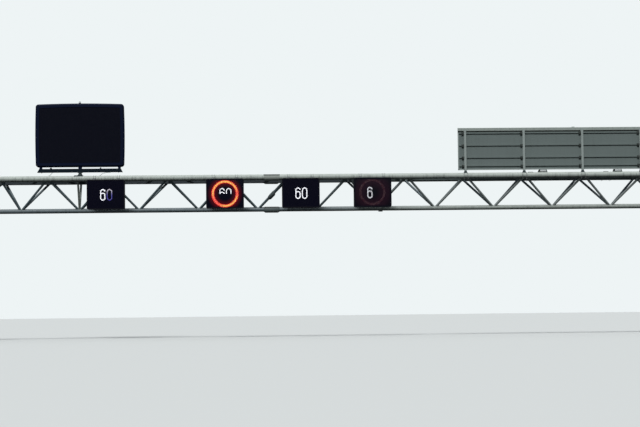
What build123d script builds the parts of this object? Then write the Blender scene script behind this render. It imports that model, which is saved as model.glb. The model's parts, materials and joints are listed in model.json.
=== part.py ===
from build123d import *
import os

# Overhead sign gantry: a triangular tube truss on two braced legs over a carriageway.
# Millimetres. +X runs along the span, +Y is the direction of travel below, +Z is up.
# The origin is at ground level under the middle of the span.

# Truss
BAY = 2800.0
BAY_COUNT = 14
TOP_END_JOINT_SHIFT = 600.0
BOTTOM_END_JOINT_SHIFT = 60.0
TRUSS_WIDTH = 1700.0
TRUSS_DEPTH = 1455.0
BOTTOM_CHORD_Z = 6065.0
TOP_CHORD_D = 273.0
BOTTOM_CHORD_D = 219.1
WEB_D = 108.0
LACING_D = 88.9
BAR_SIDES = 6
TOP_CHORD_OVERHANG = 150.0
BOTTOM_CHORD_OVERHANG = 250.0
END_CAP_THICKNESS = 12.0
END_CAP_LIP = 10.0

# Splice that joins the two lengths of the truss
SPLICE_BAY = 5
SPLICE_OFFSET = 650.0
CHORD_SLEEVE_LENGTH = 750.0
CHORD_SLEEVE_D = 308.0
CHORD_SLEEVE_TAPER = 80.0
WEB_SLEEVE_LENGTH = 460.0
WEB_SLEEVE_D = 172.0
WEB_SLEEVE_TAPER = 150.0
SLEEVE_RIM = 5.0

# Cable tray under the top lacing
TRAY_END_X = 2100.0
TRAY_START_GAP = 700.0
TRAY_CHORD_GAP = 63.5
TRAY_WIDTH = 300.0
TRAY_HEIGHT = 100.0
TRAY_WALL = 5.0
SEAT_CLEARANCE = 0.3

# Legs
LEG_COLUMN_PITCH = 1200.0
COLUMN_D = 219.1
BASE_PLATE_SIDE = 450.0
BASE_PLATE_THICKNESS = 35.0
ANCHOR_PITCH = 340.0
ANCHOR_HOLE_D = 36.0
GUSSET_HEIGHT = 220.0
GUSSET_THICKNESS = 15.0
HEAD_PLATE_GAP = 50.0
HEAD_PLATE_SIDE = 360.0
HEAD_PLATE_THICKNESS = 25.0
HEAD_SADDLE_LENGTH = 220.0
HEAD_SADDLE_WIDTH = 240.0
HEAD_SADDLE_LAP = 40.0
LEG_TIE_D = 114.3
LEG_BRACE_D = 88.9
LEG_BRACE_GAP = 114.3
LEG_PANELS = 4
LEG_BRACE_BOTTOM_Z = 420.0
HEAD_TIE_D = 139.7
SEAT_BEAM_GAP = 45.0
SEAT_BEAM_WIDTH = 200.0
SEAT_BEAM_HEIGHT = 160.0
SEAT_BLOCK_LENGTH = 180.0
SEAT_BLOCK_WIDTH = 150.0
SEAT_BLOCK_LAP = 40.0

# Lane signals in front of the truss
SIGNAL_X = (-11258.0, -5735.0, -2204.0, 1150.0)
SIGNAL_WIDTH = 1755.0
SIGNAL_HEIGHT = 1380.0
SIGNAL_DEPTH = 330.0
SIGNAL_BOTTOM_Z = 6045.0
SIGNAL_CORNER_R = 80.0
SIGNAL_LIP = 45.0
SIGNAL_RECESS = 25.0
SIGNAL_FACE_THICKNESS = 19.0
FACE_CLEARANCE = 2.0
SIGNAL_DOOR_MARGIN = 130.0
SIGNAL_DOOR_THICKNESS = 14.0
FRONT_REACH = 1450.0
HANGER_PITCH = 1100.0
HANGER_SIDE = 60.0
HANGER_TOP_DROP = 15.0
HANGER_FOOT_DROP = 15.0
HANGER_ARM_SIDE = 50.0
HANGER_CLAMP_HEIGHT = 110.0
HANGER_CLAMP_WIDTH = 140.0

# Message sign over the left part of the truss
MESSAGE_BAY = 2
MESSAGE_SHIFT = 30.0
MESSAGE_WIDTH = 4190.0
MESSAGE_HEIGHT = 3005.0
MESSAGE_DEPTH = 300.0
MESSAGE_BOTTOM_Z = 8145.0
MESSAGE_CORNER_R = 130.0
MESSAGE_SIDE_BOW = 28.0
MESSAGE_TOP_CROWN = 40.0
MESSAGE_LIP = 180.0
MESSAGE_BEVEL = 60.0
MESSAGE_RECESS = 60.0
MESSAGE_FACE_THICKNESS = 45.0
MESSAGE_DOOR_COUNT = 4
MESSAGE_DOOR_MARGIN = 160.0
MESSAGE_DOOR_GAP = 30.0
MESSAGE_DOOR_CORNER_R = 30.0
MESSAGE_DOOR_THICKNESS = 18.0
BEAM_END_INSET = 90.0
BEAM_HEIGHT = 166.0
BEAM_WIDTH = 200.0
BEAM_SPLAY = 90.0
BEAM_TOP_Z = 8055.0
FOOT_INSET = 252.0
FOOT_WIDTH = 110.0
CENTRE_FOOT_WIDTH = 150.0
FOOT_FLARE = 10.0
POST_D = 152.4
POST_FLANGE_SIDE = 376.0
POST_FLANGE_THICKNESS = 22.0
POST_GUSSET_HEIGHT = 110.0
POST_GUSSET_THICKNESS = 14.0
POST_HEAD_SIDE = 220.0
CROSS_BEAM_WIDTH = 300.0
CROSS_BEAM_CREST = 20.0
CROSS_BEAM_DEPTH = 105.0
CROSS_BEAM_OVERHANG = 90.0
EYE_OUTER_D = 88.0
EYE_HOLE_D = 46.0
EYE_THICKNESS = 26.0
EYE_PAD_LENGTH = 120.0
EYE_PAD_WIDTH = 90.0
EYE_PAD_HEIGHT = 15.0

# Direction sign over the right part, its back to the lanes below
SIGN_FIRST_X = 5588.0
SIGN_POST_PITCH = 2780.0
SIGN_POST_COUNT = 5
SIGN_OVERHANG = 333.0
SIGN_BOTTOM_Z = 7790.0
SIGN_HEIGHT = 1995.0
SIGN_BOARD_THICKNESS = 24.0
POST_SECTION = 100.0
POST_FLANGE = 9.0
POST_WEB = 7.0
POST_TOP_GAP = 70.0
POST_FOOT_TOP_Z = 7750.0
POST_FOOT_TOP_WIDTH = 100.0
POST_FOOT_BASE_WIDTH = 150.0
POST_FOOT_DEPTH = 150.0
RAIL_RISES = (205.0, 600.0, 1175.0, 1750.0)
RAIL_HEIGHT = 60.0
RAIL_DEPTH = 50.0
RAIL_WALL = 5.0
RAIL_END_GAP = 40.0
CAP_HEIGHT = 140.0
CAP_BEVEL = 14.0

# Lamps that light the face of the direction sign
LAMP_FIRST_X = 9615.0
LAMP_PITCH = 3650.0
LAMP_WIDTH = 545.0
LAMP_TOP_WIDTH = 370.0
LAMP_DEPTH = 270.0
LAMP_TOP_DEPTH = 215.0
LAMP_BOTTOM_Z = 7670.0
LAMP_HEIGHT = 255.0
LAMP_LENS_WIDTH = 260.0
LAMP_LENS_DEPTH = 14.0
LAMP_RIM = 30.0
LAMP_ARM_PITCH = 320.0
LAMP_ARM_SIDE = 50.0
GEAR_OFFSET = 665.0
GEAR_LENGTH = 340.0
GEAR_WIDTH = 180.0
GEAR_TOP_RISE = 245.0
GEAR_CORNER_R = 90.0

# Small detector under the bottom chord
DETECTOR_X = 1610.0
DETECTOR_LENGTH = 190.0
DETECTOR_WIDTH = 150.0
DETECTOR_HEIGHT = 120.0
DETECTOR_LAP = 30.0

# Places that follow from the sizes above
TOP_CHORD_Z = BOTTOM_CHORD_Z + TRUSS_DEPTH
HALF_WIDTH = TRUSS_WIDTH / 2
HALF_LENGTH = BAY * BAY_COUNT / 2
TOP_END_X = HALF_LENGTH + TOP_CHORD_OVERHANG
BOTTOM_END_X = HALF_LENGTH - BAY / 2 + BOTTOM_CHORD_OVERHANG
TOP_CHORD_CROWN_Z = TOP_CHORD_Z + TOP_CHORD_D / 2


def grid_x(number):
    """X of an even bay line, counted from the left end."""
    return -HALF_LENGTH + BAY * number


def top_node_x(number):
    """X of a joint on the top chords; the first inner one at each end stands further in."""
    shifts = {1: TOP_END_JOINT_SHIFT, BAY_COUNT - 1: -TOP_END_JOINT_SHIFT}
    return grid_x(number) + shifts.get(number, 0)


def bottom_node_x(number):
    """X of a joint on the bottom chord, midway between two bay lines but for the end bays."""
    shifts = {1: BOTTOM_END_JOINT_SHIFT, BAY_COUNT - 2: -BOTTOM_END_JOINT_SHIFT}
    return grid_x(number) + BAY / 2 + shifts.get(number, 0)


SPLICE_X = bottom_node_x(SPLICE_BAY) + SPLICE_OFFSET
STRUT_X = bottom_node_x(MESSAGE_BAY)
MESSAGE_X = STRUT_X + MESSAGE_SHIFT
LEG_X = bottom_node_x(0)


# Basic forms

def round_bar(start, end, diameter):
    """A round bar between two points."""
    axis = Vector(*end) - Vector(*start)
    return extrude(Plane(origin=start, z_dir=axis) * Circle(diameter / 2), axis.length)


def flat_bar(start, end, diameter):
    """A bar of few sides between two points, as wide across its corners as the tube."""
    axis = Vector(*end) - Vector(*start)
    return extrude(Plane(origin=start, z_dir=axis) * RegularPolygon(diameter / 2, BAR_SIDES), axis.length)


def block(x_range, y_range, z_range):
    """A box between two limits on each axis."""
    size = [high - low for low, high in (x_range, y_range, z_range)]
    middle = [(high + low) / 2 for low, high in (x_range, y_range, z_range)]
    return Pos(*middle) * Box(*size)


def centred(middle, size):
    """The two limits of a size about a middle."""
    return (middle - size / 2, middle + size / 2)


def top_chord_line(side):
    """The whole axis of a top chord as a round bar: side -1 is the front, 1 the rear."""
    y = side * HALF_WIDTH
    return round_bar((-TOP_END_X, y, TOP_CHORD_Z), (TOP_END_X, y, TOP_CHORD_Z), TOP_CHORD_D)


def bottom_chord_line():
    """The whole bottom chord as a round bar."""
    return round_bar((-BOTTOM_END_X, 0, BOTTOM_CHORD_Z), (BOTTOM_END_X, 0, BOTTOM_CHORD_Z), BOTTOM_CHORD_D)


FRONT_CHORD = top_chord_line(-1)
REAR_CHORD = top_chord_line(1)
BOTTOM_CHORD = bottom_chord_line()
ALL_CHORDS = FRONT_CHORD + REAR_CHORD + BOTTOM_CHORD


def only(shapes):
    """One node from several solids that do not touch."""
    return Compound([solid for shape in shapes for solid in shape.solids()])


# Chords

def chord_length(start_x, end_x, y, z, diameter, capped_x):
    """One length of a chord, with the plate that closes its outer end."""
    tube = round_bar((start_x, y, z), (end_x, y, z), diameter)
    inward = END_CAP_THICKNESS if capped_x < 0 else -END_CAP_THICKNESS
    cap = round_bar((capped_x, y, z), (capped_x + inward, y, z), diameter + 2 * END_CAP_LIP)
    return tube + cap


def chords():
    """The three chords, each in two lengths that meet at the splice."""
    nodes = {}
    for name, side in (("front", -1), ("rear", 1)):
        y = side * HALF_WIDTH
        nodes[f"top_chord_{name}_left"] = chord_length(
            -TOP_END_X, SPLICE_X, y, TOP_CHORD_Z, TOP_CHORD_D, -TOP_END_X)
        nodes[f"top_chord_{name}_right"] = chord_length(
            SPLICE_X, TOP_END_X, y, TOP_CHORD_Z, TOP_CHORD_D, TOP_END_X)
    nodes["bottom_chord_left"] = chord_length(
        -BOTTOM_END_X, SPLICE_X, 0, BOTTOM_CHORD_Z, BOTTOM_CHORD_D, -BOTTOM_END_X)
    nodes["bottom_chord_right"] = chord_length(
        SPLICE_X, BOTTOM_END_X, 0, BOTTOM_CHORD_Z, BOTTOM_CHORD_D, BOTTOM_END_X)
    return nodes


# Webs

def diagonal_axis(number, lean):
    """The two ends of a front diagonal that rises to the right (1) or to the left (-1)."""
    head_x = top_node_x(number + 1 if lean == 1 else number)
    return (bottom_node_x(number), 0, BOTTOM_CHORD_Z), (head_x, -HALF_WIDTH, TOP_CHORD_Z)


def diagonal(number, lean):
    """A front diagonal, its ends cut to the round of both chords."""
    start, end = diagonal_axis(number, lean)
    return flat_bar(start, end, WEB_D) - FRONT_CHORD - BOTTOM_CHORD


def web_bars():
    """Front diagonals of the left and the right length; one of them is halved at the splice."""
    left = []
    right = []
    for number in range(BAY_COUNT):
        for lean in (-1, 1):
            bar = diagonal(number, lean)
            if number == SPLICE_BAY and lean == 1:
                cut = Plane(origin=(SPLICE_X, 0, 0), z_dir=(1, 0, 0))
                left.append(split(bar, bisect_by=cut, keep=Keep.BOTTOM))
                right.append(split(bar, bisect_by=cut, keep=Keep.TOP))
            elif number <= SPLICE_BAY:
                left.append(bar)
            else:
                right.append(bar)
    return only(left), only(right)


def webs():
    """The two leaning faces of the truss."""
    left, right = web_bars()
    return {
        "web_front_left": left,
        "web_front_right": right,
        "web_rear_left": mirror(left, about=Plane.XZ),
        "web_rear_right": mirror(right, about=Plane.XZ),
    }


# Top lacing

def lacing_bar(start_x, end_x, lean):
    """A bar in the plane of the top chords, cut to the round of both."""
    start = (start_x, -lean * HALF_WIDTH, TOP_CHORD_Z)
    end = (end_x, lean * HALF_WIDTH, TOP_CHORD_Z)
    return flat_bar(start, end, LACING_D) - FRONT_CHORD - REAR_CHORD


def top_lacing():
    """Cross bars at the top joints and one diagonal in each bay."""
    left = []
    right = []
    for number in range(BAY_COUNT + 1):
        x = top_node_x(number)
        bars = left if number <= SPLICE_BAY else right
        bars.append(lacing_bar(x, x, 1))
        if number < BAY_COUNT:
            lean = 1 if number % 2 else -1
            bars.append(lacing_bar(x, top_node_x(number + 1), lean))
    return {"top_lacing_left": only(left), "top_lacing_right": only(right)}


# Splices

def sleeve(middle, direction, bore_d, outer_d, length, taper):
    """A sleeve that narrows to a thin rim at both ends, before its bore is cut."""
    half = length / 2
    rim_r = bore_d / 2 + SLEEVE_RIM
    outline = Polyline(
        (0, -half), (rim_r, -half), (outer_d / 2, taper - half),
        (outer_d / 2, half - taper), (rim_r, half), (0, half), close=True)
    body = revolve(Plane.XZ * make_face(outline), Axis.Z)
    return Plane(origin=middle, z_dir=direction) * body


def chord_splices():
    """A sleeve round each chord where its two lengths meet."""
    sleeves = []
    for y, z, diameter in (
        (-HALF_WIDTH, TOP_CHORD_Z, TOP_CHORD_D),
        (HALF_WIDTH, TOP_CHORD_Z, TOP_CHORD_D),
        (0, BOTTOM_CHORD_Z, BOTTOM_CHORD_D),
    ):
        body = sleeve(
            (SPLICE_X, y, z), (1, 0, 0), diameter, CHORD_SLEEVE_D, CHORD_SLEEVE_LENGTH, CHORD_SLEEVE_TAPER)
        sleeves.append(body - ALL_CHORDS)
    return sleeves


def diagonal_splices():
    """A sleeve round the front and the rear diagonal that the splice cuts."""
    start, end = diagonal_axis(SPLICE_BAY, 1)
    axis = Vector(*end) - Vector(*start)
    middle = Vector(*start) + axis * (SPLICE_OFFSET / (BAY / 2))
    body = sleeve(middle, axis, WEB_D, WEB_SLEEVE_D, WEB_SLEEVE_LENGTH, WEB_SLEEVE_TAPER)
    front = body - flat_bar(start, end, WEB_D)
    return [front, mirror(front, about=Plane.XZ)]


# Cable tray

def cable_tray():
    """An open tray hung under the lacing, from the left leg to the last lane signal."""
    start_x = LEG_X + TRAY_START_GAP
    top_z = TOP_CHORD_Z - LACING_D / 2 - SEAT_CLEARANCE
    rear_y = HALF_WIDTH - TOP_CHORD_D / 2 - TRAY_CHORD_GAP
    x_range = (start_x, TRAY_END_X)
    y_range = (rear_y - TRAY_WIDTH, rear_y)
    z_range = (top_z - TRAY_HEIGHT, top_z)
    outer = block(x_range, y_range, z_range)
    inner_y = (y_range[0] + TRAY_WALL, y_range[1] - TRAY_WALL)
    inner = block(x_range, inner_y, (z_range[0] + TRAY_WALL, z_range[1]))
    return outer - inner


# Legs

def column_places():
    """The X and Y of the four columns of the left leg."""
    return [
        (LEG_X + along * LEG_COLUMN_PITCH / 2, across * HALF_WIDTH)
        for along in (-1, 1)
        for across in (-1, 1)
    ]


HEAD_PLATE_TOP_Z = TOP_CHORD_Z - TOP_CHORD_D / 2 - HEAD_PLATE_GAP
COLUMN_TOP_Z = HEAD_PLATE_TOP_Z - HEAD_PLATE_THICKNESS
SEAT_Z = BOTTOM_CHORD_Z - BOTTOM_CHORD_D / 2 - SEAT_BEAM_GAP - SEAT_BEAM_HEIGHT / 2


def column(x, y):
    """One round column, from its base plate to its head plate."""
    return round_bar((x, y, BASE_PLATE_THICKNESS), (x, y, COLUMN_TOP_Z), COLUMN_D)


def base_plate(x, y):
    """A base plate with four anchor holes and a gusset on each side of the column."""
    plate = block(centred(x, BASE_PLATE_SIDE), centred(y, BASE_PLATE_SIDE), (0, BASE_PLATE_THICKNESS))
    holes = [
        round_bar((hole_x, hole_y, 0), (hole_x, hole_y, BASE_PLATE_THICKNESS), ANCHOR_HOLE_D)
        for hole_x in (x - ANCHOR_PITCH / 2, x + ANCHOR_PITCH / 2)
        for hole_y in (y - ANCHOR_PITCH / 2, y + ANCHOR_PITCH / 2)
    ]
    reach = BASE_PLATE_SIDE / 2
    top_reach = COLUMN_D / 2 + GUSSET_THICKNESS
    outline = Polyline(
        (-reach, 0), (reach, 0), (reach, GUSSET_THICKNESS), (top_reach, GUSSET_HEIGHT),
        (-top_reach, GUSSET_HEIGHT), (-reach, GUSSET_THICKNESS), close=True)
    wing = extrude(Plane.XZ * make_face(outline), GUSSET_THICKNESS / 2, both=True)
    wings = wing + Rot(Z=90) * wing
    gussets = Pos(x, y, BASE_PLATE_THICKNESS) * wings - column(x, y)
    return plate - holes + gussets


def column_head(x, y):
    """The plate on a column and the saddle that holds the top chord."""
    plate_z = (COLUMN_TOP_Z, HEAD_PLATE_TOP_Z)
    plate = block(centred(x, HEAD_PLATE_SIDE), centred(y, HEAD_PLATE_SIDE), plate_z)
    saddle_z = (HEAD_PLATE_TOP_Z, TOP_CHORD_Z - HEAD_SADDLE_LAP)
    saddle = block(centred(x, HEAD_SADDLE_LENGTH), centred(y, HEAD_SADDLE_WIDTH), saddle_z)
    return plate + saddle - ALL_CHORDS


def head_tie(y):
    """The tie along the span between two columns, level with the truss seat."""
    reach = LEG_COLUMN_PITCH / 2
    return flat_bar((LEG_X - reach, y, SEAT_Z), (LEG_X + reach, y, SEAT_Z), HEAD_TIE_D)


def leg_bracing():
    """Ties and diagonals between the front and the rear columns, and the two head ties."""
    bars = []
    columns = [column(x, y) for x, y in column_places()]
    panel = (SEAT_Z - LEG_BRACE_BOTTOM_Z) / LEG_PANELS
    for along in (-1, 1):
        x = LEG_X + along * LEG_COLUMN_PITCH / 2
        pair = [shape for shape, (column_x, _) in zip(columns, column_places()) if column_x == x]
        for level in range(LEG_PANELS + 1):
            z = LEG_BRACE_BOTTOM_Z + panel * level
            tie = flat_bar((x, -HALF_WIDTH, z), (x, HALF_WIDTH, z), LEG_TIE_D)
            bars.append(tie - pair)
        for level in range(LEG_PANELS):
            low = LEG_BRACE_BOTTOM_Z + panel * level + LEG_BRACE_GAP
            high = LEG_BRACE_BOTTOM_Z + panel * (level + 1) - LEG_BRACE_GAP
            side = 1 if level % 2 else -1
            brace = flat_bar((x, side * HALF_WIDTH, low), (x, -side * HALF_WIDTH, high), LEG_BRACE_D)
            bars.append(brace - pair)
    for across in (-1, 1):
        bars.append(head_tie(across * HALF_WIDTH) - columns)
    return only(bars)


def truss_seat():
    """The cross beam between the head ties, with the block that carries the bottom chord."""
    beam_z = centred(SEAT_Z, SEAT_BEAM_HEIGHT)
    beam = block(centred(LEG_X, SEAT_BEAM_WIDTH), (-HALF_WIDTH, HALF_WIDTH), beam_z)
    seat_top = BOTTOM_CHORD_Z - SEAT_BLOCK_LAP
    seat = block(centred(LEG_X, SEAT_BLOCK_LENGTH), centred(0, SEAT_BLOCK_WIDTH), (SEAT_Z, seat_top))
    return beam + seat - head_tie(-HALF_WIDTH) - head_tie(HALF_WIDTH) - BOTTOM_CHORD


def legs():
    """Both legs; the right one mirrors the left one."""
    left = {
        "leg_columns": only([column(x, y) for x, y in column_places()]),
        "leg_bracing": leg_bracing(),
        "leg_base_plates": only([base_plate(x, y) for x, y in column_places()]),
        "leg_heads": only([column_head(x, y) for x, y in column_places()]),
        "truss_seat": truss_seat(),
    }
    nodes = {}
    for name, shape in left.items():
        nodes[f"left_{name}"] = shape
        nodes[f"right_{name}"] = mirror(shape, about=Plane.YZ)
    return nodes


# Lane signals

SIGNAL_MIDDLE_Z = SIGNAL_BOTTOM_Z + SIGNAL_HEIGHT / 2
SIGNAL_BACK_Y = -FRONT_REACH + SIGNAL_DEPTH


def upright_plate(width, height, corner_r, front_y, back_y):
    """A plate with round corners that stands across the road, centred on X and Z."""
    outline = RectangleRounded(width, height, corner_r) if corner_r else Rectangle(width, height)
    plane = Plane(origin=(0, back_y, 0), z_dir=(0, -1, 0), x_dir=(1, 0, 0))
    return extrude(plane * outline, back_y - front_y)


def signal_case():
    """A closed case with a front lip round its display and a raised door on its back."""
    case_back = SIGNAL_BACK_Y - SIGNAL_DOOR_THICKNESS
    body = upright_plate(SIGNAL_WIDTH, SIGNAL_HEIGHT, SIGNAL_CORNER_R, -FRONT_REACH, case_back)
    recess = upright_plate(
        SIGNAL_WIDTH - 2 * SIGNAL_LIP, SIGNAL_HEIGHT - 2 * SIGNAL_LIP, SIGNAL_CORNER_R - SIGNAL_LIP / 2,
        -FRONT_REACH, -FRONT_REACH + SIGNAL_RECESS)
    door = upright_plate(
        SIGNAL_WIDTH - 2 * SIGNAL_DOOR_MARGIN, SIGNAL_HEIGHT - 2 * SIGNAL_DOOR_MARGIN,
        SIGNAL_CORNER_R, case_back, SIGNAL_BACK_Y)
    return body - recess + door


def signal_face():
    """The display plate that sits in the recess of a case."""
    inset = SIGNAL_LIP + FACE_CLEARANCE
    back_y = -FRONT_REACH + SIGNAL_RECESS
    return upright_plate(
        SIGNAL_WIDTH - 2 * inset, SIGNAL_HEIGHT - 2 * inset, SIGNAL_CORNER_R - inset / 2,
        back_y - SIGNAL_FACE_THICKNESS, back_y)


def hanger(x):
    """An upright behind a case, clamped to the front chord and stayed to the bottom chord."""
    back_y = SIGNAL_BACK_Y + HANGER_SIDE
    rail_z = (BOTTOM_CHORD_Z - HANGER_FOOT_DROP, TOP_CHORD_Z - HANGER_TOP_DROP)
    rail = block(centred(x, HANGER_SIDE), (SIGNAL_BACK_Y, back_y), rail_z)
    clamp = block(
        centred(x, HANGER_CLAMP_WIDTH), (back_y, -HALF_WIDTH),
        centred(TOP_CHORD_Z - HANGER_CLAMP_HEIGHT / 2, HANGER_CLAMP_HEIGHT))
    arm = block(
        centred(x, HANGER_ARM_SIDE), (back_y, 0), centred(BOTTOM_CHORD_Z, HANGER_ARM_SIDE))
    return rail + clamp + arm - FRONT_CHORD - BOTTOM_CHORD


def lane_signals():
    """Four lane signals on two hangers each."""
    case = signal_case()
    face = signal_face()
    places = [Pos(x, 0, SIGNAL_MIDDLE_Z) for x in SIGNAL_X]
    hanger_x = [x + side * HANGER_PITCH / 2 for x in SIGNAL_X for side in (-1, 1)]
    return {
        "signal_cases": only([place * case for place in places]),
        "signal_faces": only([place * face for place in places]),
        "signal_hangers": only([hanger(x) for x in hanger_x]),
    }


# Message sign

MESSAGE_TOP_Z = MESSAGE_BOTTOM_Z + MESSAGE_HEIGHT
MESSAGE_MIDDLE_Z = MESSAGE_BOTTOM_Z + MESSAGE_HEIGHT / 2
MESSAGE_FRONT_Y = -MESSAGE_DEPTH / 2
MESSAGE_BACK_Y = MESSAGE_DEPTH / 2


def bowed_outline(inset):
    """The outline of the case: a flat foot, bowed sides and a crowned top."""
    half = MESSAGE_WIDTH / 2 - MESSAGE_SIDE_BOW - inset
    low = -MESSAGE_HEIGHT / 2 + inset
    high = MESSAGE_HEIGHT / 2 - MESSAGE_TOP_CROWN - inset
    middle = (low + high) / 2
    foot = Line((-half, low), (half, low))
    right = ThreePointArc((half, low), (half + MESSAGE_SIDE_BOW, middle), (half, high))
    top = ThreePointArc((half, high), (0, high + MESSAGE_TOP_CROWN), (-half, high))
    left = ThreePointArc((-half, high), (-half - MESSAGE_SIDE_BOW, middle), (-half, low))
    face = make_face(foot + right + top + left)
    return fillet(face.vertices(), MESSAGE_CORNER_R - inset / 2)


def message_slab(inset, front_y, back_y):
    """A slab of the case's outline between two depths."""
    plane = Plane(origin=(MESSAGE_X, back_y, MESSAGE_MIDDLE_Z), z_dir=(0, -1, 0), x_dir=(1, 0, 0))
    return extrude(plane * bowed_outline(inset), back_y - front_y)


def message_case():
    """The case, bevelled round its front edge and recessed for the display."""
    body = message_slab(0, MESSAGE_FRONT_Y, MESSAGE_BACK_Y)
    front_edges = body.faces().sort_by(Axis.Y)[0].edges()
    body = chamfer(front_edges, MESSAGE_BEVEL)
    return body - message_slab(MESSAGE_LIP, MESSAGE_FRONT_Y, MESSAGE_FRONT_Y + MESSAGE_RECESS)


def message_face():
    """The display panel in the recess."""
    back_y = MESSAGE_FRONT_Y + MESSAGE_RECESS
    return message_slab(MESSAGE_LIP + FACE_CLEARANCE, back_y - MESSAGE_FACE_THICKNESS, back_y)


def message_doors():
    """The row of doors that closes the back of the case."""
    room = MESSAGE_WIDTH - 2 * MESSAGE_SIDE_BOW - 2 * MESSAGE_DOOR_MARGIN
    pitch = (room + MESSAGE_DOOR_GAP) / MESSAGE_DOOR_COUNT
    height = MESSAGE_HEIGHT - MESSAGE_TOP_CROWN - 2 * MESSAGE_DOOR_MARGIN
    middle_z = MESSAGE_MIDDLE_Z - MESSAGE_TOP_CROWN / 2
    door_y = (MESSAGE_BACK_Y, MESSAGE_BACK_Y + MESSAGE_DOOR_THICKNESS)
    leaf = upright_plate(pitch - MESSAGE_DOOR_GAP, height, MESSAGE_DOOR_CORNER_R, *door_y)
    return only([
        Pos(MESSAGE_X + pitch * (number - (MESSAGE_DOOR_COUNT - 1) / 2), 0, middle_z) * leaf
        for number in range(MESSAGE_DOOR_COUNT)
    ])


def trapezium(low_half, high_half, height):
    """A flat outline that stands on its lower edge, centred on its foot."""
    corners = ((-low_half, 0), (low_half, 0), (high_half, height), (-high_half, height))
    return make_face(Polyline(*corners, close=True))


def message_feet():
    """Three feet between the beam and the case; each is wider at its top."""
    feet = []
    height = MESSAGE_BOTTOM_Z - BEAM_TOP_Z
    offset = MESSAGE_WIDTH / 2 - FOOT_INSET
    for x, width in ((-offset, FOOT_WIDTH), (0, CENTRE_FOOT_WIDTH), (offset, FOOT_WIDTH)):
        outline = trapezium(width / 2, width / 2 + FOOT_FLARE, height)
        foot = extrude(Plane.XZ * outline, BEAM_WIDTH / 2, both=True)
        feet.append(Pos(MESSAGE_X + x, 0, BEAM_TOP_Z) * foot)
    return only(feet)


def message_beam():
    """The carrying beam, its ends splayed out towards the underside."""
    reach = MESSAGE_WIDTH / 2 - BEAM_END_INSET
    outline = trapezium(reach, reach - BEAM_SPLAY, BEAM_HEIGHT)
    beam = extrude(Plane.XZ * outline, BEAM_WIDTH / 2, both=True)
    return Pos(MESSAGE_X, 0, BEAM_TOP_Z - BEAM_HEIGHT) * beam


CROSS_BEAM_TOP_Z = TOP_CHORD_CROWN_Z + CROSS_BEAM_CREST
BEAM_BOTTOM_Z = BEAM_TOP_Z - BEAM_HEIGHT


def message_post():
    """The short post under the beam, with its flange, four gussets and head plate."""
    low = CROSS_BEAM_TOP_Z
    flange_top = low + POST_FLANGE_THICKNESS
    head_low = BEAM_BOTTOM_Z - POST_FLANGE_THICKNESS
    square = centred(0, POST_FLANGE_SIDE)
    flange = block(square, centred(0, CROSS_BEAM_WIDTH), (low, flange_top))
    head = block(centred(0, POST_HEAD_SIDE), centred(0, BEAM_WIDTH), (head_low, BEAM_BOTTOM_Z))
    tube = round_bar((0, 0, flange_top), (0, 0, head_low), POST_D)
    along = trapezium(POST_FLANGE_SIDE / 2, POST_D / 2, POST_GUSSET_HEIGHT)
    across = trapezium(CROSS_BEAM_WIDTH / 2, POST_D / 2, POST_GUSSET_HEIGHT)
    wing = extrude(Plane.XZ * along, POST_GUSSET_THICKNESS / 2, both=True)
    side_wing = extrude(Plane.YZ * across, POST_GUSSET_THICKNESS / 2, both=True)
    wings = Pos(Z=flange_top) * (wing + side_wing)
    return Pos(X=MESSAGE_X) * (flange + tube + head + wings)


def message_cross_beam():
    """The beam laid over both top chords under the post, cut to their round."""
    reach = HALF_WIDTH + CROSS_BEAM_OVERHANG
    z_range = (CROSS_BEAM_TOP_Z - CROSS_BEAM_DEPTH, CROSS_BEAM_TOP_Z)
    beam = block(centred(MESSAGE_X, POST_FLANGE_SIDE), (-reach, reach), z_range)
    return beam - FRONT_CHORD - REAR_CHORD


def message_struts():
    """Two struts from the top chords to the bottom joint under the sign."""
    start = (STRUT_X, 0, BOTTOM_CHORD_Z)
    end = (STRUT_X, -HALF_WIDTH, TOP_CHORD_Z)
    neighbours = [flat_bar(*diagonal_axis(MESSAGE_BAY, lean), WEB_D) for lean in (-1, 1)]
    front = flat_bar(start, end, WEB_D) - FRONT_CHORD - BOTTOM_CHORD - neighbours
    return only([front, mirror(front, about=Plane.XZ)])


def lifting_eye():
    """The eye on the crown of the case."""
    pad_top = MESSAGE_TOP_Z + EYE_PAD_HEIGHT
    pad = block(centred(0, EYE_PAD_LENGTH), centred(0, EYE_PAD_WIDTH), (MESSAGE_MIDDLE_Z, pad_top))
    centre_z = pad_top + EYE_OUTER_D / 2
    ring_plane = Plane(origin=(0, EYE_THICKNESS / 2, centre_z), z_dir=(0, -1, 0), x_dir=(1, 0, 0))
    ring = extrude(ring_plane * Circle(EYE_OUTER_D / 2), EYE_THICKNESS)
    neck = block(centred(0, EYE_OUTER_D), centred(0, EYE_THICKNESS), (pad_top, centre_z))
    hole = extrude(ring_plane * Circle(EYE_HOLE_D / 2), EYE_THICKNESS)
    eye = Pos(X=MESSAGE_X) * (pad + neck + ring - hole)
    return eye - message_slab(0, MESSAGE_FRONT_Y, MESSAGE_BACK_Y)


def message_sign():
    """The message sign and everything that carries it."""
    return {
        "message_case": message_case(),
        "message_face": message_face(),
        "message_doors": message_doors(),
        "message_feet": message_feet(),
        "message_beam": message_beam(),
        "message_post": message_post(),
        "message_cross_beam": message_cross_beam(),
        "message_struts": message_struts(),
        "message_lifting_eye": lifting_eye(),
    }


# Direction sign

SIGN_LAST_X = SIGN_FIRST_X + SIGN_POST_PITCH * (SIGN_POST_COUNT - 1)
SIGN_X_RANGE = (SIGN_FIRST_X - SIGN_OVERHANG, SIGN_LAST_X + SIGN_OVERHANG)
SIGN_TOP_Z = SIGN_BOTTOM_Z + SIGN_HEIGHT
POST_BACK_Y = -HALF_WIDTH + POST_SECTION / 2
BOARD_Y = POST_BACK_Y + RAIL_DEPTH


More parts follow.
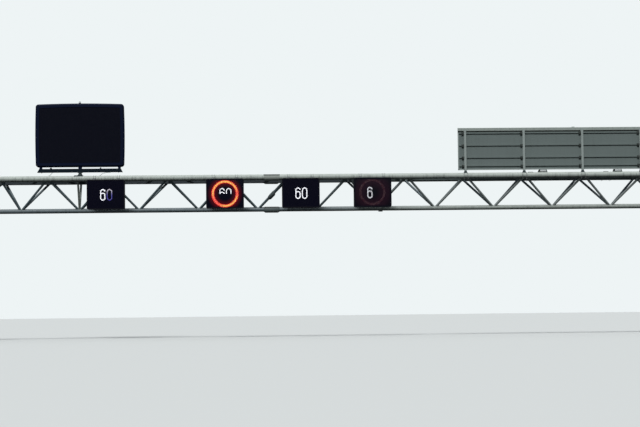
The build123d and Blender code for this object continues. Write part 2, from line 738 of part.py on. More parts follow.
def sign_post_places():
    """X of each post of the sign."""
    return [SIGN_FIRST_X + SIGN_POST_PITCH * number for number in range(SIGN_POST_COUNT)]


def sign_board():
    """The board that carries the sign's face."""
    return block(SIGN_X_RANGE, (BOARD_Y, BOARD_Y + SIGN_BOARD_THICKNESS), (SIGN_BOTTOM_Z, SIGN_TOP_Z))


def sign_rails():
    """Rails of bent channel between the board and the posts, open below."""
    x_range = (SIGN_X_RANGE[0] + RAIL_END_GAP, SIGN_X_RANGE[1] - RAIL_END_GAP)
    rails = []
    for rise in RAIL_RISES:
        z_range = centred(SIGN_BOTTOM_Z + rise, RAIL_HEIGHT)
        outer = block(x_range, (POST_BACK_Y, BOARD_Y), z_range)
        inner = block(
            x_range, (POST_BACK_Y + RAIL_WALL, BOARD_Y - RAIL_WALL), (z_range[0], z_range[1] - RAIL_WALL))
        rails.append(outer - inner)
    return only(rails)


def sign_posts():
    """Posts of rolled H section."""
    across = Rectangle(POST_SECTION, POST_FLANGE)
    shift = (POST_SECTION - POST_FLANGE) / 2
    section = Pos(Y=shift) * across + Pos(Y=-shift) * across + Rectangle(POST_WEB, POST_SECTION)
    post = extrude(section, SIGN_TOP_Z - POST_TOP_GAP - POST_FOOT_TOP_Z)
    return only([Pos(x, -HALF_WIDTH, POST_FOOT_TOP_Z) * post for x in sign_post_places()])


def sign_feet():
    """A flared foot under each post, cut to sit over the round of the front chord."""
    base = POST_FOOT_BASE_WIDTH / 2
    top = POST_FOOT_TOP_WIDTH / 2
    height = POST_FOOT_TOP_Z - TOP_CHORD_Z
    outline = Polyline(
        (-base, 0), (base, 0), (base, height / 2),
        (top, height), (-top, height), (-base, height / 2), close=True)
    foot = extrude(Plane.XZ * make_face(outline), POST_FOOT_DEPTH / 2, both=True)
    return only([Pos(x, -HALF_WIDTH, TOP_CHORD_Z) * foot - FRONT_CHORD for x in sign_post_places()])


def sign_cap():
    """A capping along the top edge of the board, between it and the posts."""
    low_z = SIGN_TOP_Z - CAP_HEIGHT
    outline = Polyline(
        (BOARD_Y, SIGN_TOP_Z), (BOARD_Y, low_z), (POST_BACK_Y, low_z),
        (POST_BACK_Y, SIGN_TOP_Z - CAP_BEVEL), (POST_BACK_Y + CAP_BEVEL, SIGN_TOP_Z), close=True)
    cap = extrude(Plane.YZ * make_face(outline), SIGN_X_RANGE[1] - SIGN_X_RANGE[0])
    return Pos(X=SIGN_X_RANGE[0]) * cap


# Lamps

LAMP_BACK_Y = FRONT_REACH
LAMP_FRONT_Y = LAMP_BACK_Y - LAMP_DEPTH


def lamp_places():
    """X of each lamp."""
    return [LAMP_FIRST_X, LAMP_FIRST_X + LAMP_PITCH]


def lamp_head(x):
    """A lamp body that narrows towards its top, with a sunk lens towards the sign."""
    base = Plane.XY * Rectangle(LAMP_WIDTH, LAMP_DEPTH)
    lid = Plane.XY.offset(LAMP_HEIGHT) * Rectangle(LAMP_TOP_WIDTH, LAMP_TOP_DEPTH)
    body = loft([base, lid])
    window = block(
        centred(0, LAMP_LENS_WIDTH), (-LAMP_DEPTH / 2, -LAMP_DEPTH / 2 + 2 * LAMP_LENS_DEPTH),
        (LAMP_RIM, LAMP_HEIGHT - LAMP_RIM))
    return Pos(x, (LAMP_FRONT_Y + LAMP_BACK_Y) / 2, LAMP_BOTTOM_Z) * (body - window)


def lamp_arm(x):
    """A bent arm from the rear chord out and up to the underside of a lamp."""
    middle_y = (LAMP_FRONT_Y + LAMP_BACK_Y) / 2
    end_y = middle_y + LAMP_ARM_SIDE / 2
    out = block(centred(x, LAMP_ARM_SIDE), (HALF_WIDTH, end_y), centred(TOP_CHORD_Z, LAMP_ARM_SIDE))
    up = block(centred(x, LAMP_ARM_SIDE), centred(middle_y, LAMP_ARM_SIDE), (TOP_CHORD_Z, LAMP_BOTTOM_Z))
    return out + up - REAR_CHORD


def gear_box(x):
    """The control gear box of a lamp, seated on the rear chord."""
    z_range = (TOP_CHORD_Z + LAMP_ARM_SIDE, TOP_CHORD_Z + GEAR_TOP_RISE)
    body = block(centred(x, GEAR_LENGTH), centred(HALF_WIDTH, GEAR_WIDTH), z_range)
    upper_edges = body.edges().filter_by(Axis.Y).group_by(Axis.Z)[-1]
    return fillet(upper_edges, GEAR_CORNER_R) - REAR_CHORD


def direction_sign():
    """The direction sign with its posts, feet and lamps."""
    arm_places = [x + side * LAMP_ARM_PITCH / 2 for x in lamp_places() for side in (-1, 1)]
    return {
        "sign_board": sign_board(),
        "sign_cap": sign_cap(),
        "sign_rails": sign_rails(),
        "sign_posts": sign_posts(),
        "sign_feet": sign_feet(),
        "lamp_heads": only([lamp_head(x) for x in lamp_places()]),
        "lamp_arms": only([lamp_arm(x) for x in arm_places]),
        "lamp_gear_boxes": only([gear_box(x - GEAR_OFFSET) for x in lamp_places()]),
    }


# Detector

def detector():
    """A small detector hung on a saddle under the bottom chord."""
    high = BOTTOM_CHORD_Z - DETECTOR_LAP
    z_range = (high - DETECTOR_HEIGHT, high)
    body = block(centred(DETECTOR_X, DETECTOR_LENGTH), centred(0, DETECTOR_WIDTH), z_range)
    return body - BOTTOM_CHORD


def gantry():
    """Every node of the gantry by name."""
    nodes = {}
    nodes.update(chords())
    nodes.update(webs())
    nodes.update(top_lacing())
    nodes["splice_sleeves"] = only(chord_splices() + diagonal_splices())
    nodes["cable_tray"] = cable_tray()
    nodes.update(legs())
    nodes.update(lane_signals())
    nodes.update(message_sign())
    nodes.update(direction_sign())
    nodes["chord_detector"] = detector()
    return nodes


os.makedirs("parts", exist_ok=True)
for node_name, node_shape in gantry().items():
    export_step(node_shape, f"parts/{node_name}.step")
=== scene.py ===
# Finishes, small fittings, camera and light for the overhead sign gantry.
# Metres. +X runs along the span, +Y is the direction of travel, +Z is up.

import json
import math

import bmesh
import bpy
from mathutils import Euler, Matrix, Vector


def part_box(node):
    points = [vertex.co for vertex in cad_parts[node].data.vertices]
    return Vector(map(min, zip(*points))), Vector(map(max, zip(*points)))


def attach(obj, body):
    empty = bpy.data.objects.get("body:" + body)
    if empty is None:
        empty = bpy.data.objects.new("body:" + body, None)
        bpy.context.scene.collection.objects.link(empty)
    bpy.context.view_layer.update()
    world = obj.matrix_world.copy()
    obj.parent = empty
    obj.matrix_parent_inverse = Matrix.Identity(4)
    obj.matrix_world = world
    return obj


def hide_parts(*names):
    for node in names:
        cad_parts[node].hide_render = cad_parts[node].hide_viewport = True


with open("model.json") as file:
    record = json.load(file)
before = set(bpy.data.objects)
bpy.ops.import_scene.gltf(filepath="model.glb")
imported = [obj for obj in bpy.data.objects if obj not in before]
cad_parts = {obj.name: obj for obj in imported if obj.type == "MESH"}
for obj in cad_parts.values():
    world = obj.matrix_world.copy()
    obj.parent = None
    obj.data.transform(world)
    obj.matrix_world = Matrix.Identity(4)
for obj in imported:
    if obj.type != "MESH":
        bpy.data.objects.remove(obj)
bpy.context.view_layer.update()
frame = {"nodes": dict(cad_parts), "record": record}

# Truss
BAY = 2.8
BAY_COUNT = 14
TOP_END_JOINT_SHIFT = 0.6
BOTTOM_END_JOINT_SHIFT = 0.06
WEB_RADIUS = 0.054
LACING_RADIUS = 0.04445
TOP_CHORD_RADIUS = 0.1365
BOTTOM_CHORD_RADIUS = 0.10955
TUBE_SIDES = 28
WELD_RADIUS = 0.006
WELD_STEPS = 20
WELD_SIDES = 5

# Splice sleeves
FRONT_SLEEVE_RADIUS = 0.15
REAR_SLEEVE_RADIUS = 0.167
BOTTOM_SLEEVE_RADIUS = 0.144
WEB_SLEEVE_RADIUS = 0.092
FRONT_SLEEVE_DROP = 0.011
REAR_SLEEVE_DROP = 0.028
BOTTOM_SLEEVE_DROP = 0.018
WEB_SLEEVE_DROP = 0.016
SLEEVE_RIM = 0.005
CHORD_SLEEVE_LENGTH = 0.75
CHORD_SLEEVE_TAPER = 0.08
WEB_SLEEVE_LENGTH = 0.46
WEB_SLEEVE_TAPER = 0.09
SLEEVE_BOLT_COUNT = 6
SLEEVE_BOLT_PITCH = 0.11
SLEEVE_BOLT_SLOPES = (-35, 215)

# Legs
COLUMN_RADIUS = 0.10955
COLUMN_PITCH = 1.2
LEG_TIE_RADIUS = 0.05715
LEG_BRACE_RADIUS = 0.04445
HEAD_TIE_RADIUS = 0.06985
LEG_PANELS = 4
LEG_BRACE_BOTTOM_Z = 0.42
ANCHOR_PITCH = 0.34
ANCHOR_SHANK_RADIUS = 0.0155
BASE_PLATE_THICKNESS = 0.035
HEAD_STRAP_PITCH = 0.29
HEAD_STRAP_DROP = TOP_CHORD_RADIUS + 0.08

# Lane signals
SIGNAL_X = (-11.258, -5.735, -2.204, 1.15)
HANGER_PITCH = 1.1
HANGER_BOLT_RISES = (-0.5, -0.17, 0.17, 0.5)
HANGER_BOLT_REACH = 0.06
HANGER_STRAP_PITCH = 0.1
HANGER_STRAP_DROP = 0.165
SIGNAL_HINGE_REACH = 0.735
SIGNAL_HINGE_PITCH = 0.45
SIGNAL_LOCK_REACH = 0.66
SIGNAL_LOCK_PITCH = 0.7
SIGNAL_LOUVRE_HALF = 0.2
SIGNAL_LOUVRE_RISE = 0.2
SIGNAL_GLAND_PITCH = 0.12
SIGNAL_GLAND_INSET = 0.12
PANEL_MARGIN = 0.02
PANEL_RISE = 0.001

# Lit lenses, numbers and rings
PIXEL_PITCH = 0.015
PIXEL_RADIUS = 0.0069
PIXEL_RISE = 0.004
DIGIT_HEIGHT = 0.53
DIGIT_WIDTH = 0.25
DIGIT_GAP = 0.06
DIGIT_STROKE = 0.045
UPPER_GLOW_DROP = 0.05
SIX_BOWL_SHARE = 0.3
SIX_STEM_SHARE = 0.29
NUMBER_SHIFT = 0.022
NUMBER_DROP = 0.015
LEFT_DIGIT = NUMBER_SHIFT - (DIGIT_WIDTH + DIGIT_GAP) / 2
RIGHT_DIGIT = NUMBER_SHIFT + (DIGIT_WIDTH + DIGIT_GAP) / 2
RING_RADIUS = 0.635
RING_STROKE = 0.14
RING_CORE = 0.07
FAINT_RING_RADIUS = 0.61
FAINT_RING_STROKE = 0.1
FAINT_RING_RISE = 0.025
FAINT_RING_SHIFT = -0.02

# Message sign
DOOR_COUNT = 4
DOOR_GAP = 0.04
DOOR_HINGE_SHARES = (0.12, 0.5, 0.88)
DOOR_LOCK_SHARES = (0.3, 0.7)
DOOR_LOCK_INSET = 0.05
DOOR_LOUVRE_INSET = 0.22
DOOR_LOUVRE_DROP = 0.45
FOOT_BOLT_INSET = 0.1
FOOT_BOLT_PITCH = 0.14
FLANGE_BOLT_PITCH_X = 0.28
FLANGE_BOLT_PITCH_Y = 0.22
FLANGE_THICKNESS = 0.022
CROSS_WELD_ANGLES = (145, 35)
LEFT_GLAND_SHIFT = -1.37
LEFT_GLAND_RADIUS = 0.055
RIGHT_GLAND_SHIFT = 0.96
RIGHT_GLAND_RADIUS = 0.038
GLAND_Y = -0.02
GLAND_NECK_SHARE = 0.7
PIPE_RADIUS = 0.011

# Direction sign
SIGN_FIRST_X = 5.588
SIGN_POST_PITCH = 2.78
SIGN_POST_COUNT = 5
RAIL_RISES = (0.205, 0.6, 1.175, 1.75)
POST_SECTION = 0.1
RAIL_HEIGHT = 0.06
CAP_HEIGHT = 0.14
CLIP_REACH = 0.11
CLIP_HEIGHT = 0.11
CLIP_DROP = 0.02
CLIP_DEPTH = 0.03
CLIP_LIP = 0.035
CLIP_LAP = 0.02
CLIP_SETBACK = 0.009
EDGE_WIDTH = 0.05
EDGE_DEPTH = 0.012
SHEET_THICKNESS = 0.0015
SHEET_CORNER = 0.1
BORDER_RISE = 0.001
BORDER_OUTER_INSET = 0.05
BORDER_OUTER_CORNER = 0.09
BORDER_INNER_INSET = 0.12
BORDER_INNER_CORNER = 0.05
LUG_X = 10.75
LUG_HALF = 0.07
LUG_REACH = 0.02
LUG_RISE = 0.03
LUG_SINK = 0.01
FOOT_STRAP_PITCH = 0.18
FOOT_STRAP_DROP = 0.17
FOOT_BAR_HALF = 0.02
FOOT_BAR_REACH = 0.18
FOOT_BAR_DROP = 0.175
FOOT_BAR_THICKNESS = 0.015
RIVET_PITCH = 0.3
RIVET_HEAD = ((0.008, 0), (0.006, 0.0025))

# Lamps
LAMP_X = (9.615, 13.265)
LAMP_BASE_WIDTH = 0.545
LAMP_TOP_WIDTH = 0.37
LAMP_BASE_DEPTH = 0.27
LAMP_TOP_DEPTH = 0.215
LAMP_HOOD = 0.095
HOOD_LEVELS = ((0.94, 0.88, 0.6), (0.8, 0.66, 1.0))
LAMP_ARM_PITCH = 0.32
LAMP_PIVOT_REACH = 0.2
LAMP_PIVOT_RISE = 0.12
LAMP_BOLT_DROP = 0.02
LAMP_TUBE_RADIUS = 0.024
LAMP_TUBE_GAP = 0.02
RIB_COUNT = 7
RIB_PITCH = 0.05
RIB_HALF = 0.004
RIB_INSET = 0.05
RIB_SINK = 0.006
RIB_RISE = 0.012
LENS_REACH = 0.15
LENS_DROP = 0.075
LENS_RISE = 0.03
BEZEL_RADIUS = 0.016
GEAR_OFFSET = 0.665
GEAR_LID_RADIUS = 0.05
GEAR_LID_HALF = 0.12
GEAR_STRAP_PITCH = 0.38
GEAR_STRAP_DROP = 0.16
GEAR_SCREW_PITCH = 0.12
GEAR_SCREW_RISE = 0.2
GEAR_SCREW_HEAD = ((0.012, 0), (0.01, 0.006))

# Cable tray
STRUT_WIDTH = 0.041
STRUT_HEIGHT = 0.021
ROD_GAP = 0.008
TRAY_STRAP_HALF = 0.03
TRAY_STRAP_THICKNESS = 0.006
TRAY_JOINT_HALF = 0.12
TRAY_JOINT_MARGIN = 0.2
TRAY_JOINT_THICKNESS = 0.004
TRAY_BOLT_SHIFTS = (-0.08, -0.03, 0.03, 0.08)
TRAY_BOLT_RISE = 0.05
TRAY_BOLT_HEAD = ((0.008, 0), (0.006, 0.005))
TRAY_LIP = 0.02

# Fittings of every kind; a nut and its washer are given in diameters of their bolt
M12 = 0.012
M14 = 0.014
M16 = 0.016
M20 = 0.02
M30 = 0.03
SINK = 0.002
FINE_SINK = 0.001
HINGE_GAP = 0.01
HINGE_PIN_RISE = 0.004
HINGE_LEAF_RISE = 0.006
WASHER_TOP = 0.18
NUT_TOP = 0.98
SHARP_ANGLE = 35

# Camera, fitted to the photo
PHOTO_WIDTH_PX = 640
FOCAL_PX = 1735.8
SENSOR_WIDTH = 36.0
CAMERA_PLACE = (-4.651, -82.06, 1.117)
CAMERA_YAW = 2.363
CAMERA_PITCH = 3.295
CAMERA_ROLL = -0.650
VIEW_DEPTH = 3000.0

# Floor and light; angles in degrees
FLOOR_RADIUS = 900.0
SUN_STRENGTH = 2.6
SUN_SPREAD = 18
SUN_TILT = 43
SUN_LEAN = -10

ALONG_X = Vector((1, 0, 0))
ALONG_Y = Vector((0, 1, 0))
UP = Vector((0, 0, 1))


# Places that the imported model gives

def middle(node):
    """The middle of a node's box."""
    low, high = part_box(node)
    return (low + high) / 2


FRONT_Y = middle("top_chord_front_left").y
REAR_Y = middle("top_chord_rear_left").y
TOP_Z = middle("top_chord_front_left").z
CROWN_Z = TOP_Z + TOP_CHORD_RADIUS
BOTTOM_Z = middle("bottom_chord_left").z
SPLICE_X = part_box("top_chord_front_left")[1].x
LEFT_END_X = -BAY * BAY_COUNT / 2
SIGNAL_LOW, SIGNAL_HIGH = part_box("signal_cases")
FACE_LOW, FACE_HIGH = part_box("signal_faces")
SIGNAL_MIDDLE_Z = middle("signal_cases").z
DIGITS_MIDDLE_Z = SIGNAL_MIDDLE_Z - NUMBER_DROP
MESSAGE_X = middle("message_post").x
BEAM_LOW, BEAM_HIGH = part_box("message_beam")
CROSS_LOW, CROSS_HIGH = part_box("message_cross_beam")
DOORS_LOW, DOORS_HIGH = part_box("message_doors")
BOARD_LOW, BOARD_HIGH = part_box("sign_board")
POST_BACK_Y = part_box("sign_posts")[1].y
SIGN_POST_X = [SIGN_FIRST_X + SIGN_POST_PITCH * number for number in range(SIGN_POST_COUNT)]
LAMP_LOW, LAMP_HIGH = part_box("lamp_heads")
LAMP_MIDDLE_Y = middle("lamp_heads").y
GEAR_LOW, GEAR_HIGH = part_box("lamp_gear_boxes")
TRAY_LOW, TRAY_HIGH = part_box("cable_tray")


def grid_x(number):
    """X of an even bay line, counted from the left end."""
    return LEFT_END_X + BAY * number


def top_node_x(number):
    """X of a joint on the top chords; the first inner one at each end stands further in."""
    shifts = {1: TOP_END_JOINT_SHIFT, BAY_COUNT - 1: -TOP_END_JOINT_SHIFT}
    return grid_x(number) + shifts.get(number, 0)


def bottom_node_x(number):
    """X of a joint on the bottom chord, midway between two bay lines but for the end bays."""
    shifts = {1: BOTTOM_END_JOINT_SHIFT, BAY_COUNT - 2: -BOTTOM_END_JOINT_SHIFT}
    return grid_x(number) + BAY / 2 + shifts.get(number, 0)


def spread(count, pitch):
    """Even offsets about a middle."""
    return [(number - (count - 1) / 2) * pitch for number in range(count)]


# Node tree helpers

def colour(red, green, blue):
    """A colour written as it looks, from 0 to 255, as the shader's linear values."""
    linear = []
    for value in (red, green, blue):
        share = value / 255
        linear.append(share / 12.92 if share <= 0.04045 else ((share + 0.055) / 1.055) ** 2.4)
    return (*linear, 1.0)


def fill(tree, node, sockets):
    """A node's sockets, by name or number, each get another socket's value or a plain one."""
    for key, value in sockets.items():
        if isinstance(value, bpy.types.NodeSocket):
            tree.links.new(value, node.inputs[key])
        else:
            node.inputs[key].default_value = value


def add(tree, kind, sockets=None, **settings):
    """A new node with its settings and the values of its sockets."""
    node = tree.nodes.new(kind)
    for name, value in settings.items():
        setattr(node, name, value)
    fill(tree, node, sockets or {})
    return node


def calculate(tree, operation, first, second=0.0, clamp=False):
    """A Math node on two values."""
    node = add(tree, "ShaderNodeMath", {0: first, 1: second}, operation=operation, use_clamp=clamp)
    return node.outputs[0]


def plus(tree, first, second, clamp=False):
    """The sum of two values."""
    return calculate(tree, "ADD", first, second, clamp)


def minus(tree, first, second):
    """The first value less the second."""
    return calculate(tree, "SUBTRACT", first, second)


def times(tree, first, second, clamp=False):
    """The product of two values."""
    return calculate(tree, "MULTIPLY", first, second, clamp)


def blend(tree, share, first, second):
    """A colour between two others."""
    return add(tree, "ShaderNodeMix", {0: share, 6: first, 7: second}, data_type="RGBA").outputs[2]


def ramp(tree, value, low, high):
    """A mask that goes smoothly from 0 at low to 1 at high."""
    sockets = {"Value": value, "From Min": low, "From Max": high}
    return add(tree, "ShaderNodeMapRange", sockets, interpolation_type="SMOOTHSTEP").outputs["Result"]


def own_place(tree, scale=(1, 1, 1)):
    """The object's own coordinates, stretched along its axes."""
    place = add(tree, "ShaderNodeTexCoord").outputs["Object"]
    return add(tree, "ShaderNodeMapping", {"Vector": place, "Scale": scale}).outputs["Vector"]


def axes_of(tree, vector):
    """The X, Y and Z of a vector."""
    return add(tree, "ShaderNodeSeparateXYZ", {0: vector}).outputs


def noise(tree, vector, scale, detail=4.0):
    """Soft noise from 0 to 1."""
    sockets = {"Vector": vector, "Scale": scale, "Detail": detail, "Roughness": 0.55}
    return add(tree, "ShaderNodeTexNoise", sockets).outputs["Fac"]


def cells(tree, vector, scale, feature="F1"):
    """Random cells."""
    return add(tree, "ShaderNodeTexVoronoi", {"Vector": vector, "Scale": scale}, feature=feature).outputs


def new_group(name, inputs, outputs):
    """A shader node group with named sockets: inputs with plain values, outputs with their kinds."""
    tree = bpy.data.node_groups.new(name, "ShaderNodeTree")
    for label, value in inputs.items():
        kind = "NodeSocketColor" if isinstance(value, tuple) else "NodeSocketFloat"
        tree.interface.new_socket(label, in_out="INPUT", socket_type=kind).default_value = value
    for label, kind in outputs.items():
        tree.interface.new_socket(label, in_out="OUTPUT", socket_type=f"NodeSocket{kind}")
    return tree, add(tree, "NodeGroupInput").outputs, add(tree, "NodeGroupOutput")


# Shared effects

PALE_PAINT = colour(180, 185, 180)
# The pale top colour below paints a highlight on faces that look up; the dark colour after it is grime that
# also paints shade on faces that look down.
TOP_HIGHLIGHT = colour(231, 235, 231)
DIRT_AND_SHADE = colour(52, 58, 58)
BLACK = (0, 0, 0, 1)
WHITE = (1, 1, 1, 1)


def wear_and_shade_group():
    """Paint that is paler on top by default, a painted highlight, with dirt streaked down its sides and
    painted shade mixed with grime on faces that look down.
    """
    tree, given, result = new_group(
        "wear_and_shade",
        {"Paint": PALE_PAINT, "Dirt And Shade": colour(60, 60, 55), "Dirt And Shade Amount": 0.5, "Top Shading": 0.2,
         "Top": TOP_HIGHLIGHT, "Patch Scale": 1.5, "Roughness": 0.5, "Grain": 90.0},
        {"Color": "Color", "Roughness": "Float", "Height": "Float"})
    even = own_place(tree)
    patches = noise(tree, even, given["Patch Scale"])
    grain = noise(tree, even, given["Grain"], detail=2.0)
    streaks = ramp(tree, noise(tree, own_place(tree, (11, 11, 0.7)), 1.0), 0.47, 0.68)
    upward = axes_of(tree, add(tree, "ShaderNodeNewGeometry").outputs["Normal"])["Z"]
    # Faces that look down get painted shade, mixed with grime; faces that look up blend toward the top
    # colour, a painted highlight by default.
    under = ramp(tree, times(tree, upward, -1.0), 0.1, 0.8)
    above = ramp(tree, upward, 0.15, 0.85)
    dirt_and_shade_share = times(tree, times(tree, streaks, minus(tree, 1.0, above)), 0.5)
    dirt_and_shade_share = plus(tree, dirt_and_shade_share, times(tree, under, 0.75))
    dirt_and_shade_share = plus(tree, dirt_and_shade_share, times(tree, ramp(tree, patches, 0.5, 0.8), 0.15))
    dirt_and_shade_share = times(tree, dirt_and_shade_share, given["Dirt And Shade Amount"], clamp=True)
    top_shaded = blend(tree, times(tree, above, given["Top Shading"]), given["Paint"], given["Top"])
    mottled = blend(tree, times(tree, patches, 0.16), top_shaded, given["Dirt And Shade"])
    rough = plus(tree, given["Roughness"], times(tree, dirt_and_shade_share, 0.25))
    fill(tree, result, {
        "Color": blend(tree, dirt_and_shade_share, mottled, given["Dirt And Shade"]),
        "Roughness": plus(tree, rough, times(tree, grain, 0.12)),
        "Height": plus(tree, times(tree, grain, 0.5), times(tree, patches, 0.5))})
    return tree


def rust_group():
    """Small spots of rust where paint has chipped, more of them in some places."""
    tree, given, result = new_group(
        "rust_spots",
        {"Base": PALE_PAINT, "Rust": colour(105, 62, 38), "Amount": 0.5, "Spot Scale": 14.0},
        {"Color": "Color", "Mask": "Float"})
    even = own_place(tree)
    near = minus(tree, 1.0, ramp(tree, cells(tree, even, given["Spot Scale"])["Distance"], 0.06, 0.2))
    where = ramp(tree, noise(tree, even, 0.9), 0.56, 0.72)
    torn = ramp(tree, noise(tree, even, 45.0), 0.35, 0.6)
    mask = times(tree, times(tree, near, where), torn)
    mask = times(tree, mask, given["Amount"], clamp=True)
    fill(tree, result, {"Color": blend(tree, mask, given["Base"], given["Rust"]), "Mask": mask})
    return tree


def spangle_group():
    """The patchwork of crystals on galvanised steel."""
    tree, given, result = new_group(
        "zinc_spangle",
        {"Zinc": colour(150, 154, 155), "Contrast": 0.3, "Crystal Scale": 60.0},
        {"Color": "Color", "Roughness": "Float", "Height": "Float"})
    even = own_place(tree)
    crystals = cells(tree, even, given["Crystal Scale"])["Color"]
    tone = add(tree, "ShaderNodeSeparateColor", {0: crystals}).outputs
    cloudy = noise(tree, even, 3.0)
    share = times(tree, tone["Red"], given["Contrast"])
    share = plus(tree, share, times(tree, cloudy, 0.35), clamp=True)
    fill(tree, result, {
        "Color": blend(tree, share, given["Zinc"], colour(78, 82, 84)),
        "Roughness": plus(tree, 0.38, times(tree, tone["Green"], 0.25)),
        "Height": cloudy})
    return tree


def pixel_group():
    """A square grid of small round lenses, seen from the front."""
    tree, given, result = new_group(
        "pixel_grid",
        {"Pitch": PIXEL_PITCH, "Lens Share": 0.4},
        {"Lens": "Float", "Height": "Float"})
    axes = axes_of(tree, own_place(tree))
    squares = []
    for axis in ("X", "Z"):
        cell = calculate(tree, "DIVIDE", axes[axis], given["Pitch"])
        off = minus(tree, calculate(tree, "FRACT", cell), 0.5)
        squares.append(times(tree, off, off))
    inside = minus(tree, given["Lens Share"], calculate(tree, "SQRT", plus(tree, *squares)))
    fill(tree, result, {"Lens": ramp(tree, inside, 0.0, 0.06), "Height": ramp(tree, inside, 0.0, 0.4)})
    return tree


WEAR_AND_SHADE = wear_and_shade_group()
RUST = rust_group()
SPANGLE = spangle_group()
PIXELS = pixel_group()


def effect(tree, group, sockets=None):
    """A shared effect in a material, with its own values."""
    return add(tree, "ShaderNodeGroup", sockets, node_tree=group).outputs


# Materials

MATERIALS = {}


def new_material(name):
    """A new finish, kept under its name: its tree and its Principled shader."""
    material = bpy.data.materials.new(name)
    material.use_nodes = True
    MATERIALS[name] = material
    return material.node_tree, material.node_tree.nodes["Principled BSDF"]


def bump(tree, shader, height, strength, distance):
    """Small relief on a shader."""
    node = add(tree, "ShaderNodeBump", {"Strength": strength, "Distance": distance, "Height": height})
    fill(tree, shader, {"Normal": node.outputs["Normal"]})


def painted(name, paint, dirt_and_shade=DIRT_AND_SHADE, amount=0.5, top_shading=0.1, roughness=0.5, rust=0.0, specular=0.5,
            top=TOP_HIGHLIGHT, fade=None, far_paint=None):
    """Weathered paint with its own colours, its painted highlight and its painted shade; along a fade it
    turns into a second paint.
    """
    tree, shader = new_material(name)
    if fade:
        axis, start, end = fade
        paint = blend(tree, ramp(tree, axes_of(tree, own_place(tree))[axis], start, end), paint, far_paint)
    coat = effect(tree, WEAR_AND_SHADE, {"Paint": paint, "Dirt And Shade": dirt_and_shade, "Dirt And Shade Amount": amount,
                                     "Top Shading": top_shading, "Roughness": roughness, "Top": top})
    outside = coat["Color"]
    if rust:
        outside = effect(tree, RUST, {"Base": outside, "Amount": rust})["Color"]
    fill(tree, shader, {"Base Color": outside, "Roughness": coat["Roughness"],
                        "Specular IOR Level": specular})
    bump(tree, shader, coat["Height"], 0.25, 0.002)


def galvanised(name, zinc, contrast, scale):
    """Bare galvanised steel."""
    tree, shader = new_material(name)
    coat = effect(tree, SPANGLE, {"Zinc": zinc, "Contrast": contrast, "Crystal Scale": scale})
    fill(tree, shader, {"Base Color": coat["Color"], "Roughness": coat["Roughness"], "Metallic": 0.55})
    bump(tree, shader, coat["Height"], 0.15, 0.001)


def display(name, board, lens):
    """A black display board with its grid of unlit lenses."""
    tree, shader = new_material(name)
    grid = effect(tree, PIXELS)
    dust = effect(tree, WEAR_AND_SHADE, {"Paint": board, "Dirt And Shade": colour(9, 9, 22), "Dirt And Shade Amount": 0.25,
                                     "Top Shading": 0.0, "Roughness": 0.6, "Patch Scale": 2.5})
    fill(tree, shader, {
        "Base Color": blend(tree, grid["Lens"], dust["Color"], lens),
        "Roughness": minus(tree, dust["Roughness"], times(tree, grid["Lens"], 0.25)),
        "Specular IOR Level": 0.06})
    bump(tree, shader, grid["Height"], 0.5, 0.004)
    return tree, shader


def glowing_display(name, board, lens, glow, signal_x, strength, reach):
    """A display board round a lit ring, whose light spreads over the lenses beside it."""
    tree, shader = display(name, board, lens)
    axes = axes_of(tree, own_place(tree))
    across = minus(tree, axes["X"], signal_x)
    rise = minus(tree, axes["Z"], DIGITS_MIDDLE_Z)
    away = calculate(tree, "SQRT", plus(tree, times(tree, across, across), times(tree, rise, rise)))
    off = calculate(tree, "ABSOLUTE", minus(tree, away, RING_RADIUS - RING_STROKE / 2))
    share = minus(tree, 1.0, ramp(tree, off, 0.0, reach))
    fill(tree, shader, {"Emission Color": blend(tree, share, BLACK, glow), "Emission Strength": strength})


def light_dots(name, body, glow, strength, other_glow=None, upper_glow=None):
    """Lit lenses, some a little dimmer; some stretches or the upper half may have another colour."""
    tree, shader = new_material(name)
    place = own_place(tree)
    if other_glow:
        glow = blend(tree, ramp(tree, noise(tree, place, 1.6, detail=1.0), 0.46, 0.62), glow, other_glow)
    if upper_glow:
        low_z, high_z = DIGITS_MIDDLE_Z - UPPER_GLOW_DROP, DIGITS_MIDDLE_Z + DIGIT_HEIGHT / 2
        glow = blend(tree, ramp(tree, axes_of(tree, place)["Z"], low_z, high_z), glow, upper_glow)
    flicker = noise(tree, place, 38.0, detail=1.0)
    fill(tree, shader, {
        "Emission Color": blend(tree, flicker, blend(tree, 0.28, glow, BLACK), glow),
        "Base Color": blend(tree, flicker, body, glow),
        "Emission Strength": strength,
        "Roughness": 0.35})


def sheeting(name, base):
    """Reflective sheeting with its fine cell pattern and a little road dirt."""
    tree, shader = new_material(name)
    edge = ramp(tree, cells(tree, own_place(tree), 220.0, "DISTANCE_TO_EDGE")["Distance"], 0.0, 0.12)
    coat = effect(tree, WEAR_AND_SHADE, {"Paint": base, "Dirt And Shade": colour(92, 92, 86), "Dirt And Shade Amount": 0.3,
                                     "Top Shading": 0.1, "Roughness": 0.3, "Patch Scale": 1.1})
    lighter = blend(tree, 0.12, coat["Color"], WHITE)
    fill(tree, shader, {"Base Color": blend(tree, edge, lighter, coat["Color"]),
                        "Roughness": coat["Roughness"], "Coat Weight": 0.3})
    bump(tree, shader, edge, 0.1, 0.0005)


def lens_glass(name):
    """Pressed glass that looks pale under the open sky."""
    tree, shader = new_material(name)
    waves = add(tree, "ShaderNodeTexWave", {"Vector": own_place(tree), "Scale": 22.0},
                wave_type="BANDS", bands_direction="X")
    ribs = waves.outputs["Fac"]
    fill(tree, shader, {"Base Color": blend(tree, ribs, colour(205, 212, 210), colour(240, 244, 243)),
                        "Roughness": 0.18, "Coat Weight": 0.6})
    bump(tree, shader, ribs, 0.4, 0.002)


